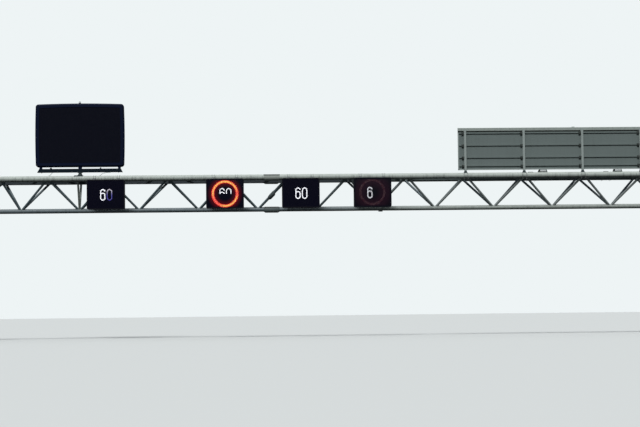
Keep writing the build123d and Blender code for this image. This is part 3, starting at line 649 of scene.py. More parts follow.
def make_materials():
    """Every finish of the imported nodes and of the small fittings."""
    along = ("X", -3.0, 5.0)
    upward = ("Z", BOTTOM_Z + 0.9, TOP_Z - 0.2)
    board = colour(4, 5, 24)
    lens = colour(3, 3, 18)
    lit_white = (0.93, 0.95, 1.0, 1.0)
    painted("pale_gantry_paint", colour(168, 177, 171), amount=0.75, top_shading=0.12, rust=0.4)
    # Painted shade: the rear chords, and the lacing tubes between the top chords, take a darker copy of the
    # gantry paint for the shade they lie in.
    painted("shaded_rear_chord_paint", colour(100, 111, 110), amount=0.7, rust=0.4)
    # Painted shade along the span: the bottom chords and the front web bars are darker at the left end and
    # fade into a paler copy of their paint towards the right.
    painted("shaded_lower_chord_paint", colour(98, 110, 115), amount=0.6, top_shading=0.05, rust=0.4,
            fade=along, far_paint=colour(146, 154, 149))
    painted("shaded_web_paint", colour(88, 106, 112), amount=0.55, top_shading=0.05, rust=0.3,
            fade=along, far_paint=colour(134, 143, 142))
    # Painted shade: the rear web bars take a darker copy of the web paint for the shade they lie in.
    painted("rear_shaded_web_paint", colour(78, 94, 100), amount=0.55, top_shading=0.05, rust=0.3)
    # Painted shade: the sleeves' top faces blend toward a dark top colour that evens out the light from
    # above; the paint is also darker on the lower sleeves.
    painted("splice_sleeve_shaded_grey", colour(78, 89, 90), amount=0.15, top_shading=0.92, roughness=0.6, rust=0.7,
            top=colour(46, 53, 49), fade=upward, far_paint=colour(142, 149, 143))
    painted("signal_case_black", colour(13, 14, 24), colour(22, 23, 28), amount=0.3, top_shading=0.04,
            roughness=0.55, specular=0.1)
    painted("message_case_black", colour(9, 18, 42), colour(14, 20, 34), amount=0.25, top_shading=0.02,
            roughness=0.55, specular=0.06)
    painted("dark_steel_paint", colour(7, 22, 33), colour(11, 19, 25), top_shading=0.03,
            roughness=0.55, specular=0.1)
    painted("message_post_paint", colour(43, 59, 62), amount=0.6, rust=0.3)
    painted("sign_back_grey", colour(99, 111, 109), colour(62, 70, 68), amount=0.18, roughness=0.6)
    painted("sign_trim_grey", colour(145, 156, 153), colour(90, 95, 93), amount=0.4)
    painted("sign_cap_grey", colour(146, 156, 151), colour(84, 88, 86), amount=0.4)
    # The dark grey of the rail clips, also used for the strip of painted shadow under the sign's capping.
    painted("clip_and_shadow_strip_grey", colour(54, 62, 59), colour(40, 45, 43), amount=0.4, top_shading=0.05, roughness=0.7)
    painted("lamp_grey", colour(98, 112, 106), colour(60, 66, 62), roughness=0.45)
    painted("gear_box_dark", colour(84, 88, 86), colour(50, 50, 48), roughness=0.6)
    painted("detector_grey", colour(120, 124, 124), top_shading=0.2)
    painted("black_rubber", colour(20, 20, 21), colour(46, 45, 42), amount=0.4, roughness=0.75, specular=0.3)
    galvanised("galvanised_steel", colour(140, 146, 147), contrast=0.3, scale=55.0)
    # Painted shade: the cable tray and its strut, hangers and joints take a dark copy of the zinc for the
    # shade inside the truss.
    galvanised("shaded_tray_zinc", colour(40, 49, 55), contrast=0.2, scale=55.0)
    galvanised("bolt_zinc", colour(120, 124, 124), contrast=0.2, scale=120.0)
    display("display_black", board, lens)
    display("message_display", colour(10, 13, 27), colour(6, 8, 17))
    glowing_display("red_glow_display", board, lens, colour(82, 5, 6), SIGNAL_X[1],
                    strength=1.0, reach=0.3)
    glowing_display("faint_glow_display", colour(9, 8, 19), colour(10, 12, 20), colour(30, 8, 18),
                    SIGNAL_X[3], strength=0.8, reach=0.5)
    light_dots("lit_white", colour(90, 92, 96), lit_white, strength=1.7)
    light_dots("soft_white", colour(60, 62, 66), colour(224, 226, 232), strength=1.25)
    light_dots("dim_blue_white", colour(30, 30, 50), colour(82, 78, 168), strength=1.0,
               upper_glow=colour(222, 216, 226))
    light_dots("glaring_amber", colour(90, 40, 20), colour(255, 190, 96), strength=1.5,
               other_glow=colour(255, 96, 84))
    light_dots("lit_red", colour(80, 14, 14), colour(246, 62, 46), strength=1.2)
    light_dots("faint_red", colour(12, 4, 9), colour(64, 5, 28), strength=0.25)
    sheeting("blue_sheeting", colour(24, 66, 140))
    sheeting("white_sheeting", colour(222, 225, 224))
    lens_glass("lamp_glass")


# Slots whose finish has another name, and nodes with a finish of their own; the rear chords, the bottom
# chords and the cable tray carry painted shade
FINISH = {
    "gantry_paint": "pale_gantry_paint",
    "sleeve_grey": "splice_sleeve_shaded_grey",
    "signal_black": "signal_case_black",
    "case_black": "message_case_black",
    "gear_dark": "gear_box_dark",
    "top_chord_rear_left": "shaded_rear_chord_paint",
    "top_chord_rear_right": "shaded_rear_chord_paint",
    "bottom_chord_left": "shaded_lower_chord_paint",
    "bottom_chord_right": "shaded_lower_chord_paint",
    "message_face": "message_display",
    "message_post": "message_post_paint",
    "message_cross_beam": "message_post_paint",
    "sign_feet": "message_post_paint",
    "sign_cap": "sign_cap_grey",
    "cable_tray": "shaded_tray_zinc",
}


def finish_nodes():
    """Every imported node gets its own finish, or else that of its slot."""
    for entry in frame["record"]["subparts"]:
        node, slot = entry["node"], entry["material_slot"]
        mesh = frame["nodes"][node].data
        mesh.materials.clear()
        mesh.materials.append(MATERIALS[FINISH.get(node) or FINISH.get(slot, slot)])


# Mesh helpers

def new_piece(name, build, finish, replaced):
    """One object from a function that fills a bmesh; it rides on the gantry."""
    mesh = bpy.data.meshes.new(name)
    bm = bmesh.new()
    build(bm)
    bm.normal_update()
    bm.to_mesh(mesh)
    bm.free()
    mesh.materials.append(MATERIALS[finish])
    mesh.shade_smooth()
    mesh.set_sharp_from_angle(angle=math.radians(SHARP_ANGLE))
    piece = bpy.data.objects.new(name, mesh)
    bpy.context.scene.collection.objects.link(piece)
    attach(piece, "root")
    if replaced:
        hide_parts(*replaced)


def skin(bm, rings, closed=False):
    """Faces between rings of equally many points, and over the two ends unless the form is closed."""
    rings = [[bm.verts.new(point) for point in ring] for ring in rings]
    pairs = list(zip(rings, rings[1:]))
    if closed:
        pairs.append((rings[-1], rings[0]))
    for near, far in pairs:
        for step in range(len(near)):
            after = (step + 1) % len(near)
            bm.faces.new((near[step], near[after], far[after], far[step]))
    if not closed:
        bm.faces.new(list(reversed(rings[0])))
        bm.faces.new(rings[-1])


def circle(centre, first, second, radius, sides):
    """Points round a circle that two unit directions span."""
    points = []
    for step in range(sides):
        angle = 2 * math.pi * step / sides
        points.append(centre + (first * math.cos(angle) + second * math.sin(angle)) * radius)
    return points


def arc(centre, first, second, radius, start, end, steps):
    """Points along an arc, angles in degrees."""
    points = []
    for step in range(steps + 1):
        angle = math.radians(start + (end - start) * step / steps)
        points.append(Vector(centre) + (first * math.cos(angle) + second * math.sin(angle)) * radius)
    return points


def sweep(bm, path, radius, sides=TUBE_SIDES, closed=False):
    """A round bar along a path."""
    points = [Vector(point) for point in path]
    count = len(points)
    rings = []
    across = None
    for index, point in enumerate(points):
        before = points[index - 1] if index or closed else point
        after = points[(index + 1) % count] if index < count - 1 or closed else point
        along = (after - before).normalized()
        across = along.orthogonal() if across is None else across - along * across.dot(along)
        across.normalize()
        rings.append(circle(point, across, along.cross(across), radius, sides))
    skin(bm, rings, closed)


def turn(bm, point, direction, profile, sides=16):
    """A turned form: pairs of radius and height along a direction from a point."""
    facing = Vector(direction).to_track_quat("Z", "Y").to_matrix().to_4x4()
    place = Matrix.Translation(Vector(point)) @ facing
    rings = []
    for radius, height in profile:
        rings.append([place @ spot for spot in circle(UP * height, ALONG_X, ALONG_Y, radius, sides)])
    skin(bm, rings)


def stepped(bm, point, direction, wide, narrow, heights, sides=16):
    """A turned form with a wide foot and a narrow neck; heights are those of their four edges."""
    turn(bm, point, direction, list(zip((wide, wide, narrow, narrow), heights)), sides)


def block(bm, low, high, bevel=0.004):
    """A block between two corners with eased edges."""
    low, high = Vector(low), Vector(high)
    size = high - low
    place = Matrix.Translation((low + high) / 2) @ Matrix.Diagonal((*size, 1.0))
    made = bmesh.ops.create_cube(bm, size=1.0, matrix=place)
    edges = list({edge for vert in made["verts"] for edge in vert.link_edges})
    eased = min(bevel, min(size) * 0.3)
    bmesh.ops.bevel(bm, geom=edges, offset=eased, segments=2, profile=0.7, affect="EDGES")


def bolt(bm, point, direction, size, stud=1.2):
    """A washer, a nut and the end of a bolt; size is the bolt's diameter, stud the end's length in it."""
    top = NUT_TOP + stud
    washer = [(1.0, 0), (1.0, WASHER_TOP)]
    nut = [(0.92, WASHER_TOP), (0.92, NUT_TOP - 0.12), (0.78, NUT_TOP)]
    end = [(0.5, NUT_TOP), (0.5, top - 0.1), (0.4, top)]
    for profile, sides in ((washer, 18), (nut, 6), (end, 12)):
        turn(bm, point, direction, [(radius * size, height * size) for radius, height in profile], sides)


def strap_pair(bm, x, y, pitch, drop, size):
    """Two U bolts over a top chord, with nuts under the plate that they clamp below its axis."""
    reach = TOP_CHORD_RADIUS + size / 2
    low_z = TOP_Z - drop
    for strap_x in (x - pitch / 2, x + pitch / 2):
        over = arc((strap_x, y, TOP_Z), ALONG_Y, UP, reach, start=180, end=0, steps=16)
        sweep(bm, [(strap_x, y - reach, low_z), *over, (strap_x, y + reach, low_z)], size / 2, sides=10)
        for side in (-1, 1):
            bolt(bm, (strap_x, y + side * reach, low_z + size), -UP, size, stud=0.6)


def hinge(bm, x, y, z, pin_radius, pin_half, leaf_width, leaf_half, bevel):
    """A hinge on a back face: its pin, and its leaf to the right of it."""
    pin_y = y + HINGE_PIN_RISE
    sweep(bm, [(x, pin_y, z - pin_half), (x, pin_y, z + pin_half)], pin_radius, sides=12)
    left = x + HINGE_GAP
    right = left + leaf_width
    block(bm, (left, y - SINK, z - leaf_half), (right, y + HINGE_LEAF_RISE, z + leaf_half), bevel)


def louvres(bm, left, right, y, low_z, count, pitch, reach):
    """A stack of slats on a back face."""
    for number in range(count):
        z = low_z + number * pitch
        block(bm, (left, y - SINK, z), (right, y + reach, z + reach + SINK))


def weld_loop(bm, start, end, bar_radius, axis, carrier_radius):
    """The weld where a bar comes out of the round carrier on whose axis it starts."""
    start = Vector(start)
    along = (Vector(end) - start).normalized()
    across = along.orthogonal().normalized()
    path = []
    for point in circle(start, across, along.cross(across), bar_radius, WELD_STEPS):
        off = point - start
        off -= axis * off.dot(axis)
        run = along - axis * along.dot(axis)
        a, b, c = run.dot(run), 2 * off.dot(run), off.dot(off) - carrier_radius ** 2
        path.append(point + along * ((-b + math.sqrt(max(b * b - 4 * a * c, 0))) / (2 * a)))
    sweep(bm, path, WELD_RADIUS, WELD_SIDES, closed=True)


# Truss

def web_axes(side_y):
    """Bottom and top end of every web bar in one leaning face."""
    pairs = []
    for number in range(BAY_COUNT):
        for lean in (0, 1):
            foot = Vector((bottom_node_x(number), 0, BOTTOM_Z))
            pairs.append((foot, Vector((top_node_x(number + lean), side_y, TOP_Z))))
    return pairs


def lacing_axes():
    """Both ends of every bar between the top chords."""
    pairs = []
    for number in range(BAY_COUNT + 1):
        x = top_node_x(number)
        pairs.append((Vector((x, FRONT_Y, TOP_Z)), Vector((x, REAR_Y, TOP_Z))))
        if number < BAY_COUNT:
            start_y, end_y = (FRONT_Y, REAR_Y) if number % 2 else (REAR_Y, FRONT_Y)
            pairs.append((Vector((x, start_y, TOP_Z)), Vector((top_node_x(number + 1), end_y, TOP_Z))))
    return pairs


def tubes(pairs, radius):
    """A build function for straight tubes."""
    def build(bm):
        for pair in pairs:
            sweep(bm, pair, radius)
    return build


def truss_welds(bm):
    """A weld at both ends of every web and lacing bar."""
    for side_y in (FRONT_Y, REAR_Y):
        for foot, head in web_axes(side_y):
            weld_loop(bm, foot, head, WEB_RADIUS, ALONG_X, BOTTOM_CHORD_RADIUS)
            weld_loop(bm, head, foot, WEB_RADIUS, ALONG_X, TOP_CHORD_RADIUS)
    for start, end in lacing_axes():
        weld_loop(bm, start, end, LACING_RADIUS, ALONG_X, TOP_CHORD_RADIUS)
        weld_loop(bm, end, start, LACING_RADIUS, ALONG_X, TOP_CHORD_RADIUS)


# Legs

def column_x(side):
    """X of the two column rows of a leg: side -1 is the left leg."""
    return [side * bottom_node_x(0) + along for along in spread(2, COLUMN_PITCH)]


def leg_levels():
    """Heights of the ties between front and rear columns."""
    top_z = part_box("left_leg_bracing")[1].z - HEAD_TIE_RADIUS
    step = (top_z - LEG_BRACE_BOTTOM_Z) / LEG_PANELS
    return [LEG_BRACE_BOTTOM_Z + step * level for level in range(LEG_PANELS + 1)]


def leg_axes(side):
    """Both ends and the radius of every bracing tube of a leg."""
    bars = []
    levels = leg_levels()
    for x in column_x(side):
        for z in levels:
            bars.append(((x, FRONT_Y, z), (x, REAR_Y, z), LEG_TIE_RADIUS))
        for level in range(LEG_PANELS):
            low = levels[level] + 2 * LEG_TIE_RADIUS
            high = levels[level + 1] - 2 * LEG_TIE_RADIUS
            start_y, end_y = (REAR_Y, FRONT_Y) if level % 2 else (FRONT_Y, REAR_Y)
            bars.append(((x, start_y, low), (x, end_y, high), LEG_BRACE_RADIUS))
    for y in (FRONT_Y, REAR_Y):
        first, second = column_x(side)
        bars.append(((first, y, levels[-1]), (second, y, levels[-1]), HEAD_TIE_RADIUS))
    return bars


def leg_tubes(side):
    """A build function for a leg's bracing and its welds."""
    def build(bm):
        for start, end, radius in leg_axes(side):
            sweep(bm, (start, end), radius)
            weld_loop(bm, start, end, radius, UP, COLUMN_RADIUS)
            weld_loop(bm, end, start, radius, UP, COLUMN_RADIUS)
    return build


def column_places():
    """X and Y of all eight columns."""
    return [(x, y) for side in (-1, 1) for x in column_x(side) for y in (FRONT_Y, REAR_Y)]


def anchor_bolts(bm):
    """Four anchor bolts with a nut on each base plate."""
    shank = [(ANCHOR_SHANK_RADIUS, 0), (ANCHOR_SHANK_RADIUS, BASE_PLATE_THICKNESS)]
    for x, y in column_places():
        for along in spread(2, ANCHOR_PITCH):
            for across in spread(2, ANCHOR_PITCH):
                bolt(bm, (x + along, y + across, BASE_PLATE_THICKNESS), UP, M30, stud=1.6)
                turn(bm, (x + along, y + across, 0), UP, shank, sides=12)


def head_straps(bm):
    """Two U bolts that hold each top chord on its column head."""
    for x, y in column_places():
        strap_pair(bm, x, y, HEAD_STRAP_PITCH, HEAD_STRAP_DROP, M20)


# Lane signals

def stadium_distance(x, z, half_width, half_height):
    """Distance from the centre line of an upright oval with straight sides."""
    z_off = max(abs(z) - (half_height - half_width), 0.0)
    return abs(math.hypot(x, z_off) - half_width)


def zero_lit(x, z):
    """True inside the stroke of a nought."""
    half = DIGIT_STROKE / 2
    return stadium_distance(x, z, DIGIT_WIDTH / 2 - half, DIGIT_HEIGHT / 2 - half) <= half


def six_lit(x, z):
    """True inside the stroke of a six: a bowl, and a stem that curls over its top."""
    half = DIGIT_STROKE / 2
    bowl_height = DIGIT_HEIGHT * SIX_BOWL_SHARE
    bowl_z = -DIGIT_HEIGHT / 2 + half + bowl_height
    in_bowl = stadium_distance(x, z - bowl_z, DIGIT_WIDTH / 2 - half, bowl_height) <= half
    on_stem = zero_lit(x, z) and (x < 0 or z > DIGIT_HEIGHT * SIX_STEM_SHARE)
    return in_bowl or on_stem


def in_ring(x, z, outer, stroke):
    """True between two circles."""
    return outer - stroke <= math.hypot(x, z) <= outer


def ring_core_lit(x, z):
    """True in the middle of the lit ring, where its lenses glare."""
    return in_ring(x, z, RING_RADIUS - (RING_STROKE - RING_CORE) / 2, RING_CORE)


def ring_edge_lit(x, z):
    """True in the lit ring beside its middle."""
    return in_ring(x, z, RING_RADIUS, RING_STROKE) and not ring_core_lit(x, z)


def faint_ring_lit(x, z):
    """True inside the faint ring."""
    return in_ring(x, z - FAINT_RING_RISE, FAINT_RING_RADIUS, FAINT_RING_STROKE)


def lit_pixels(signal_x, shape, shift_x=0.0, low_z=-1.0):
    """Middles of the pixels of a signal that a shape lights."""
    reach = int(RING_RADIUS / PIXEL_PITCH) + 2
    places = []
    for column in range(-reach, reach):
        for row in range(-reach, reach):
            x = (column + 0.5) * PIXEL_PITCH
            z = (row + 0.5) * PIXEL_PITCH
            if z >= low_z and shape(x - shift_x, z):
                places.append(Vector((signal_x + x, FACE_LOW.y, DIGITS_MIDDLE_Z + z)))
    return places


def white_pixels():
    """Pixels of the bright numbers; the photo caught the second signal with its upper half lit."""
    first, second, third, _ = SIGNAL_X
    return (lit_pixels(first, six_lit, LEFT_DIGIT)
            + lit_pixels(second, six_lit, LEFT_DIGIT, low_z=0.0)
            + lit_pixels(second, zero_lit, RIGHT_DIGIT, low_z=0.0)
            + lit_pixels(third, six_lit, LEFT_DIGIT)
            + lit_pixels(third, zero_lit, RIGHT_DIGIT))


def dots(places):
    """A build function for small domed lenses on the display face."""
    dome = [(PIXEL_RADIUS, 0), (PIXEL_RADIUS * 0.85, PIXEL_RISE * 0.7), (PIXEL_RADIUS * 0.4, PIXEL_RISE)]

    def build(bm):
        for place in places:
            turn(bm, place, -ALONG_Y, dome, sides=7)
    return build


def glow_panel(signal_x):
    """A build function for the thin display panel round a lit ring."""
    def build(bm):
        reach = SIGNAL_X[0] - FACE_LOW.x - PANEL_MARGIN
        low = (signal_x - reach, FACE_LOW.y - PANEL_RISE, FACE_LOW.z + PANEL_MARGIN)
        high = (signal_x + reach, FACE_LOW.y + PANEL_RISE, FACE_HIGH.z - PANEL_MARGIN)
        block(bm, low, high, bevel=PANEL_RISE / 2)
    return build


def signal_fittings(bm):
    """Hinges, locks, louvres and glands of the four signal cases."""
    y = SIGNAL_HIGH.y
    for x in SIGNAL_X:
        for rise in spread(3, SIGNAL_HINGE_PITCH):
            hinge(bm, x - SIGNAL_HINGE_REACH, y, SIGNAL_MIDDLE_Z + rise,
                  pin_radius=0.012, pin_half=0.05, leaf_width=0.045, leaf_half=0.035, bevel=0.002)
        for rise in spread(2, SIGNAL_LOCK_PITCH):
            lock = (x + SIGNAL_LOCK_REACH, y, SIGNAL_MIDDLE_Z + rise)
            stepped(bm, lock, ALONG_Y, wide=0.022, narrow=0.012, heights=(0, 0.006, 0.008, 0.012))
        louvres(bm, x - SIGNAL_LOUVRE_HALF, x + SIGNAL_LOUVRE_HALF, y, SIGNAL_LOW.z + SIGNAL_LOUVRE_RISE,
                count=6, pitch=0.03, reach=0.012)
        for along in spread(4, SIGNAL_GLAND_PITCH):
            gland = (x + along, y - SIGNAL_GLAND_INSET, SIGNAL_LOW.z)
            stepped(bm, gland, -UP, wide=0.02, narrow=0.014, heights=(-SINK, 0.012, 0.016, 0.03), sides=6)


def hanger_bolts(bm):
    """Bolts of each hanger into its case, and its straps round the chord."""
    for signal_x in SIGNAL_X:
        for side in spread(2, HANGER_PITCH):
            x = signal_x + side
            for rise in HANGER_BOLT_RISES:
                bolt(bm, (x, SIGNAL_HIGH.y + HANGER_BOLT_REACH, SIGNAL_MIDDLE_Z + rise), ALONG_Y, M16)
            strap_pair(bm, x, FRONT_Y, HANGER_STRAP_PITCH, HANGER_STRAP_DROP, M14)


# Message sign

def message_fittings(bm):
    """Hinges, locks and louvres on the rear doors."""
    size = DOORS_HIGH - DOORS_LOW
    pitch = size.x / DOOR_COUNT
    y = DOORS_HIGH.y
    for door in range(DOOR_COUNT):
        left = DOORS_LOW.x + pitch * door + DOOR_GAP
        right = left + pitch - 2 * DOOR_GAP
        for share in DOOR_HINGE_SHARES:
            hinge(bm, left, y, DOORS_LOW.z + size.z * share,
                  pin_radius=0.014, pin_half=0.07, leaf_width=0.06, leaf_half=0.05, bevel=0.004)
        for share in DOOR_LOCK_SHARES:
            lock = (right - DOOR_LOCK_INSET, y, DOORS_LOW.z + size.z * share)
            stepped(bm, lock, ALONG_Y, wide=0.03, narrow=0.014, heights=(0, 0.008, 0.01, 0.016), sides=18)
        louvres(bm, left + DOOR_LOUVRE_INSET, right - DOOR_LOUVRE_INSET, y, DOORS_HIGH.z - DOOR_LOUVRE_DROP,
                count=10, pitch=0.032, reach=0.014)


def message_bolts(bm):
    """Bolts of the feet and of the post's flange."""
    foot_low, foot_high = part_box("message_feet")
    for x in (foot_low.x + FOOT_BOLT_INSET, MESSAGE_X, foot_high.x - FOOT_BOLT_INSET):
        for y in spread(2, FOOT_BOLT_PITCH):
            bolt(bm, (x, y, BEAM_LOW.z), -UP, M16, stud=0.8)
    flange_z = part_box("message_post")[0].z + FLANGE_THICKNESS
    for along in spread(2, FLANGE_BOLT_PITCH_X):
        for y in spread(2, FLANGE_BOLT_PITCH_Y):
            bolt(bm, (MESSAGE_X + along, y, flange_z), UP, M20)


def cross_beam_welds(bm):
    """The weld along both sides of the cross beam where it sits on the two top chords."""
    for chord_y in (FRONT_Y, REAR_Y):
        for x in (CROSS_LOW.x, CROSS_HIGH.x):
            path = arc((x, chord_y, TOP_Z), ALONG_Y, UP, TOP_CHORD_RADIUS + WELD_RADIUS / 2,
                       *CROSS_WELD_ANGLES, steps=16)
            sweep(bm, path, WELD_RADIUS, WELD_SIDES)


def message_glands(bm):
    """Cable glands on top of the beam."""
    for shift, radius in ((LEFT_GLAND_SHIFT, LEFT_GLAND_RADIUS), (RIGHT_GLAND_SHIFT, RIGHT_GLAND_RADIUS)):
        point = (MESSAGE_X + shift, GLAND_Y, BEAM_HIGH.z)
        stepped(bm, point, UP, radius, radius * GLAND_NECK_SHARE, (-SINK, 0.03, 0.04, 0.06))


def message_pipes(bm):
    """Thin bent pipes that bring the cables down from the beam to the front chord."""
    beam_z = BEAM_LOW.z
    left = ((-1.30, -0.06, beam_z + 0.01), (-1.31, -0.07, beam_z - 0.03), (-1.34, -0.3, CROWN_Z + 0.12),
            (-1.37, -0.5, CROWN_Z + 0.05), (-1.39, FRONT_Y, CROWN_Z + 0.004))
    right = ((1.52, -0.06, beam_z + 0.01), (1.42, -0.1, beam_z - 0.02), (1.22, -0.15, beam_z - 0.035),
             (1.08, -0.2, beam_z - 0.07), (1.0, -0.35, CROWN_Z + 0.08), (0.95, -0.6, CROWN_Z + 0.01),
             (0.93, FRONT_Y + 0.06, CROWN_Z - 0.005))
    for path in (left, right):
        sweep(bm, [(MESSAGE_X + along, y, z) for along, y, z in path], PIPE_RADIUS, sides=12)


# Direction sign

def face_outline(inset, radius, y):
    """A rectangle with round corners that lies on the sign's face, drawn in from its edges."""
    low_x, high_x = BOARD_LOW.x + inset, BOARD_HIGH.x - inset
    low_z, high_z = BOARD_LOW.z + inset, BOARD_HIGH.z - inset
    points = []
    for x, z, start in ((high_x, high_z, 0), (low_x, high_z, 90), (low_x, low_z, 180), (high_x, low_z, 270)):
        centre = (x - math.copysign(radius, x - (low_x + high_x) / 2), y,
                  z - math.copysign(radius, z - (low_z + high_z) / 2))
        points += arc(centre, ALONG_X, UP, radius, start, start + 90, steps=8)
    return points


def sign_sheet(bm):
    """The blue sheet on the face of the board."""
    skin(bm, [face_outline(0, SHEET_CORNER, BOARD_HIGH.y + rise) for rise in (0, SHEET_THICKNESS)])


def sign_border(bm):
    """The white border of the face."""
    low_y = BOARD_HIGH.y + SHEET_THICKNESS
    high_y = low_y + BORDER_RISE
    outer = (BORDER_OUTER_INSET, BORDER_OUTER_CORNER)
    inner = (BORDER_INNER_INSET, BORDER_INNER_CORNER)
    skin(bm, [face_outline(*outer, low_y), face_outline(*outer, high_y),
              face_outline(*inner, high_y), face_outline(*inner, low_y)], closed=True)


def sign_clips(bm):
    """The clamp that holds each rail on the left flange of each post, with its bolt."""
    front_y = POST_BACK_Y - CLIP_DEPTH
    for x in SIGN_POST_X:
        left = x - POST_SECTION / 2 - CLIP_REACH
        for rise in RAIL_RISES:
            z = BOARD_LOW.z + rise - CLIP_DROP
            low, high_z = (left, front_y, z - CLIP_HEIGHT / 2), z + CLIP_HEIGHT / 2
            block(bm, low, (left + CLIP_REACH + CLIP_LAP, POST_BACK_Y - CLIP_SETBACK, high_z))
            block(bm, low, (left + CLIP_LIP, POST_BACK_Y + SINK, high_z))
            bolt(bm, (left + CLIP_REACH / 2, front_y, z), -ALONG_Y, M14)


def sign_cap_shadow(bm):
    """A dark strip between the capping and the rail below it, painted shadow under the capping."""
    high_z = BOARD_HIGH.z - CAP_HEIGHT
    low_z = BOARD_LOW.z + RAIL_RISES[-1] + RAIL_HEIGHT / 2
    block(bm, (BOARD_LOW.x, BOARD_LOW.y - EDGE_DEPTH, low_z), (BOARD_HIGH.x, BOARD_LOW.y + SINK, high_z))


def sign_edges(bm):
    """The folded edge along the foot and the two ends of the board's back, and a lug on its top."""
    low, high = BOARD_LOW, BOARD_HIGH
    back_y = low.y - EDGE_DEPTH
    front_y = low.y + SINK
    block(bm, (low.x, back_y, low.z), (high.x, front_y, low.z + EDGE_WIDTH))
    for left in (low.x, high.x - EDGE_WIDTH):
        block(bm, (left, back_y, low.z), (left + EDGE_WIDTH, front_y, high.z - CAP_HEIGHT))
    block(bm, (LUG_X - LUG_HALF, low.y - LUG_REACH, high.z - LUG_SINK),
          (LUG_X + LUG_HALF, low.y + LUG_REACH, high.z + LUG_RISE))


def sign_foot_bolts(bm):
    """Two straps round the chord at each post foot, and the bars that they clamp."""
    low_z = TOP_Z - FOOT_BAR_DROP
    for post_x in SIGN_POST_X:
        strap_pair(bm, post_x, FRONT_Y, FOOT_STRAP_PITCH, FOOT_STRAP_DROP, M16)
        for along in spread(2, FOOT_STRAP_PITCH):
            x = post_x + along
            block(bm, (x - FOOT_BAR_HALF, FRONT_Y - FOOT_BAR_REACH, low_z),
                  (x + FOOT_BAR_HALF, FRONT_Y + FOOT_BAR_REACH, low_z + FOOT_BAR_THICKNESS))


def sign_rivets(bm):
    """Rivets along the rails, through the sheet on the face."""
    y = BOARD_HIGH.y + SHEET_THICKNESS
    for rise in RAIL_RISES:
        for number in range(1, int((BOARD_HIGH.x - BOARD_LOW.x) / RIVET_PITCH)):
            point = (BOARD_LOW.x + number * RIVET_PITCH, y, BOARD_LOW.z + rise)
            turn(bm, point, ALONG_Y, RIVET_HEAD, sides=8)


# Lamps

def lamp_front_y(z):
    """Y of a lamp's leaning front at a height."""
    share = (z - LAMP_LOW.z) / (LAMP_HIGH.z - LAMP_LOW.z)
    return LAMP_LOW.y + (LAMP_BASE_DEPTH - LAMP_TOP_DEPTH) / 2 * share


def lamp_bodies(bm):
    """The two lamp bodies, each with the domed hood that closes its top."""
    levels = [(LAMP_BASE_WIDTH, LAMP_BASE_DEPTH, LAMP_LOW.z), (LAMP_TOP_WIDTH, LAMP_TOP_DEPTH, LAMP_HIGH.z)]
    for wide, deep, rise in HOOD_LEVELS:
        levels.append((LAMP_TOP_WIDTH * wide, LAMP_TOP_DEPTH * deep, LAMP_HIGH.z + LAMP_HOOD * rise))
    for x in LAMP_X:
        skin(bm, [[(x + side * width / 2, LAMP_MIDDLE_Y + end * depth / 2, z)
                   for side, end in ((-1, -1), (1, -1), (1, 1), (-1, 1))] for width, depth, z in levels])


def lens_corners(x, lift, inset=0.0):
    """Corners of a lamp's glass, lifted off the lamp's front and drawn in from the edges."""
    low_z = LAMP_HIGH.z - LENS_DROP + inset
    high_z = LAMP_HIGH.z + LENS_RISE - inset
    reach = LENS_REACH - inset
    return [(x + side * reach, lamp_front_y(z) - lift, z)
            for side, z in ((-1, low_z), (1, low_z), (1, high_z), (-1, high_z))]


def lamp_lenses(bm):
    """The glass in the front of each lamp."""
    for x in LAMP_X:
        skin(bm, [lens_corners(x, lift=-0.02), lens_corners(x, lift=0.008),
                  lens_corners(x, lift=0.012, inset=0.006)])


def lamp_bezels(bm):
    """The frame of four bars round each glass."""
    for x in LAMP_X:
        sweep(bm, lens_corners(x, lift=0.004), BEZEL_RADIUS, sides=8, closed=True)


def lamp_fittings(bm):
    """Side pivots, cooling ribs and foot bolts of each lamp."""
    for x in LAMP_X:
        for side in (-1, 1):
            pivot = (x + side * LAMP_PIVOT_REACH, LAMP_MIDDLE_Y, LAMP_LOW.z + LAMP_PIVOT_RISE)
            stepped(bm, pivot, (side, 0, 0), wide=0.03, narrow=0.018,
                    heights=(-0.01, 0.025, 0.03, 0.038), sides=14)
            bolt(bm, (x + side * LAMP_ARM_PITCH / 2, LAMP_MIDDLE_Y, LAMP_LOW.z - LAMP_BOLT_DROP), -UP, M12)
        for along in spread(RIB_COUNT, RIB_PITCH):
            block(bm, (x + along - RIB_HALF, LAMP_LOW.y + RIB_INSET, LAMP_HIGH.z - RIB_SINK),
                  (x + along + RIB_HALF, LAMP_HIGH.y - RIB_INSET, LAMP_HIGH.z + RIB_RISE), bevel=0.002)


def lamp_tubes(bm):
    """The slanted cable arm beside each lamp, from its gear box to its left side."""
    y = LAMP_LOW.y - LAMP_TUBE_GAP
    for x in LAMP_X:
        path = [(x - GEAR_OFFSET + 0.24, REAR_Y, TOP_Z + 0.16), (x - 0.32, y - 0.08, TOP_Z + 0.17),
                (x - 0.29, y, TOP_Z + 0.2), (x - 0.165, y, LAMP_HIGH.z + 0.08)]
        sweep(bm, path, LAMP_TUBE_RADIUS, sides=12)


def gear_fittings(bm):
    """Chord straps and lid screws of the gear boxes."""
    for lamp_x in LAMP_X:
        x = lamp_x - GEAR_OFFSET
        strap_pair(bm, x, REAR_Y, GEAR_STRAP_PITCH, GEAR_STRAP_DROP, M12)
        for along in spread(3, GEAR_SCREW_PITCH):
            point = (x + along, GEAR_LOW.y, TOP_Z + GEAR_SCREW_RISE)
            turn(bm, point, -ALONG_Y, GEAR_SCREW_HEAD, sides=10)


def gear_lids(bm):
    """A domed lid on each gear box."""
    for lamp_x in LAMP_X:
        x = lamp_x - GEAR_OFFSET
        path = [(x - GEAR_LID_HALF, REAR_Y, GEAR_HIGH.z), (x + GEAR_LID_HALF, REAR_Y, GEAR_HIGH.z)]
        sweep(bm, path, GEAR_LID_RADIUS, sides=20)


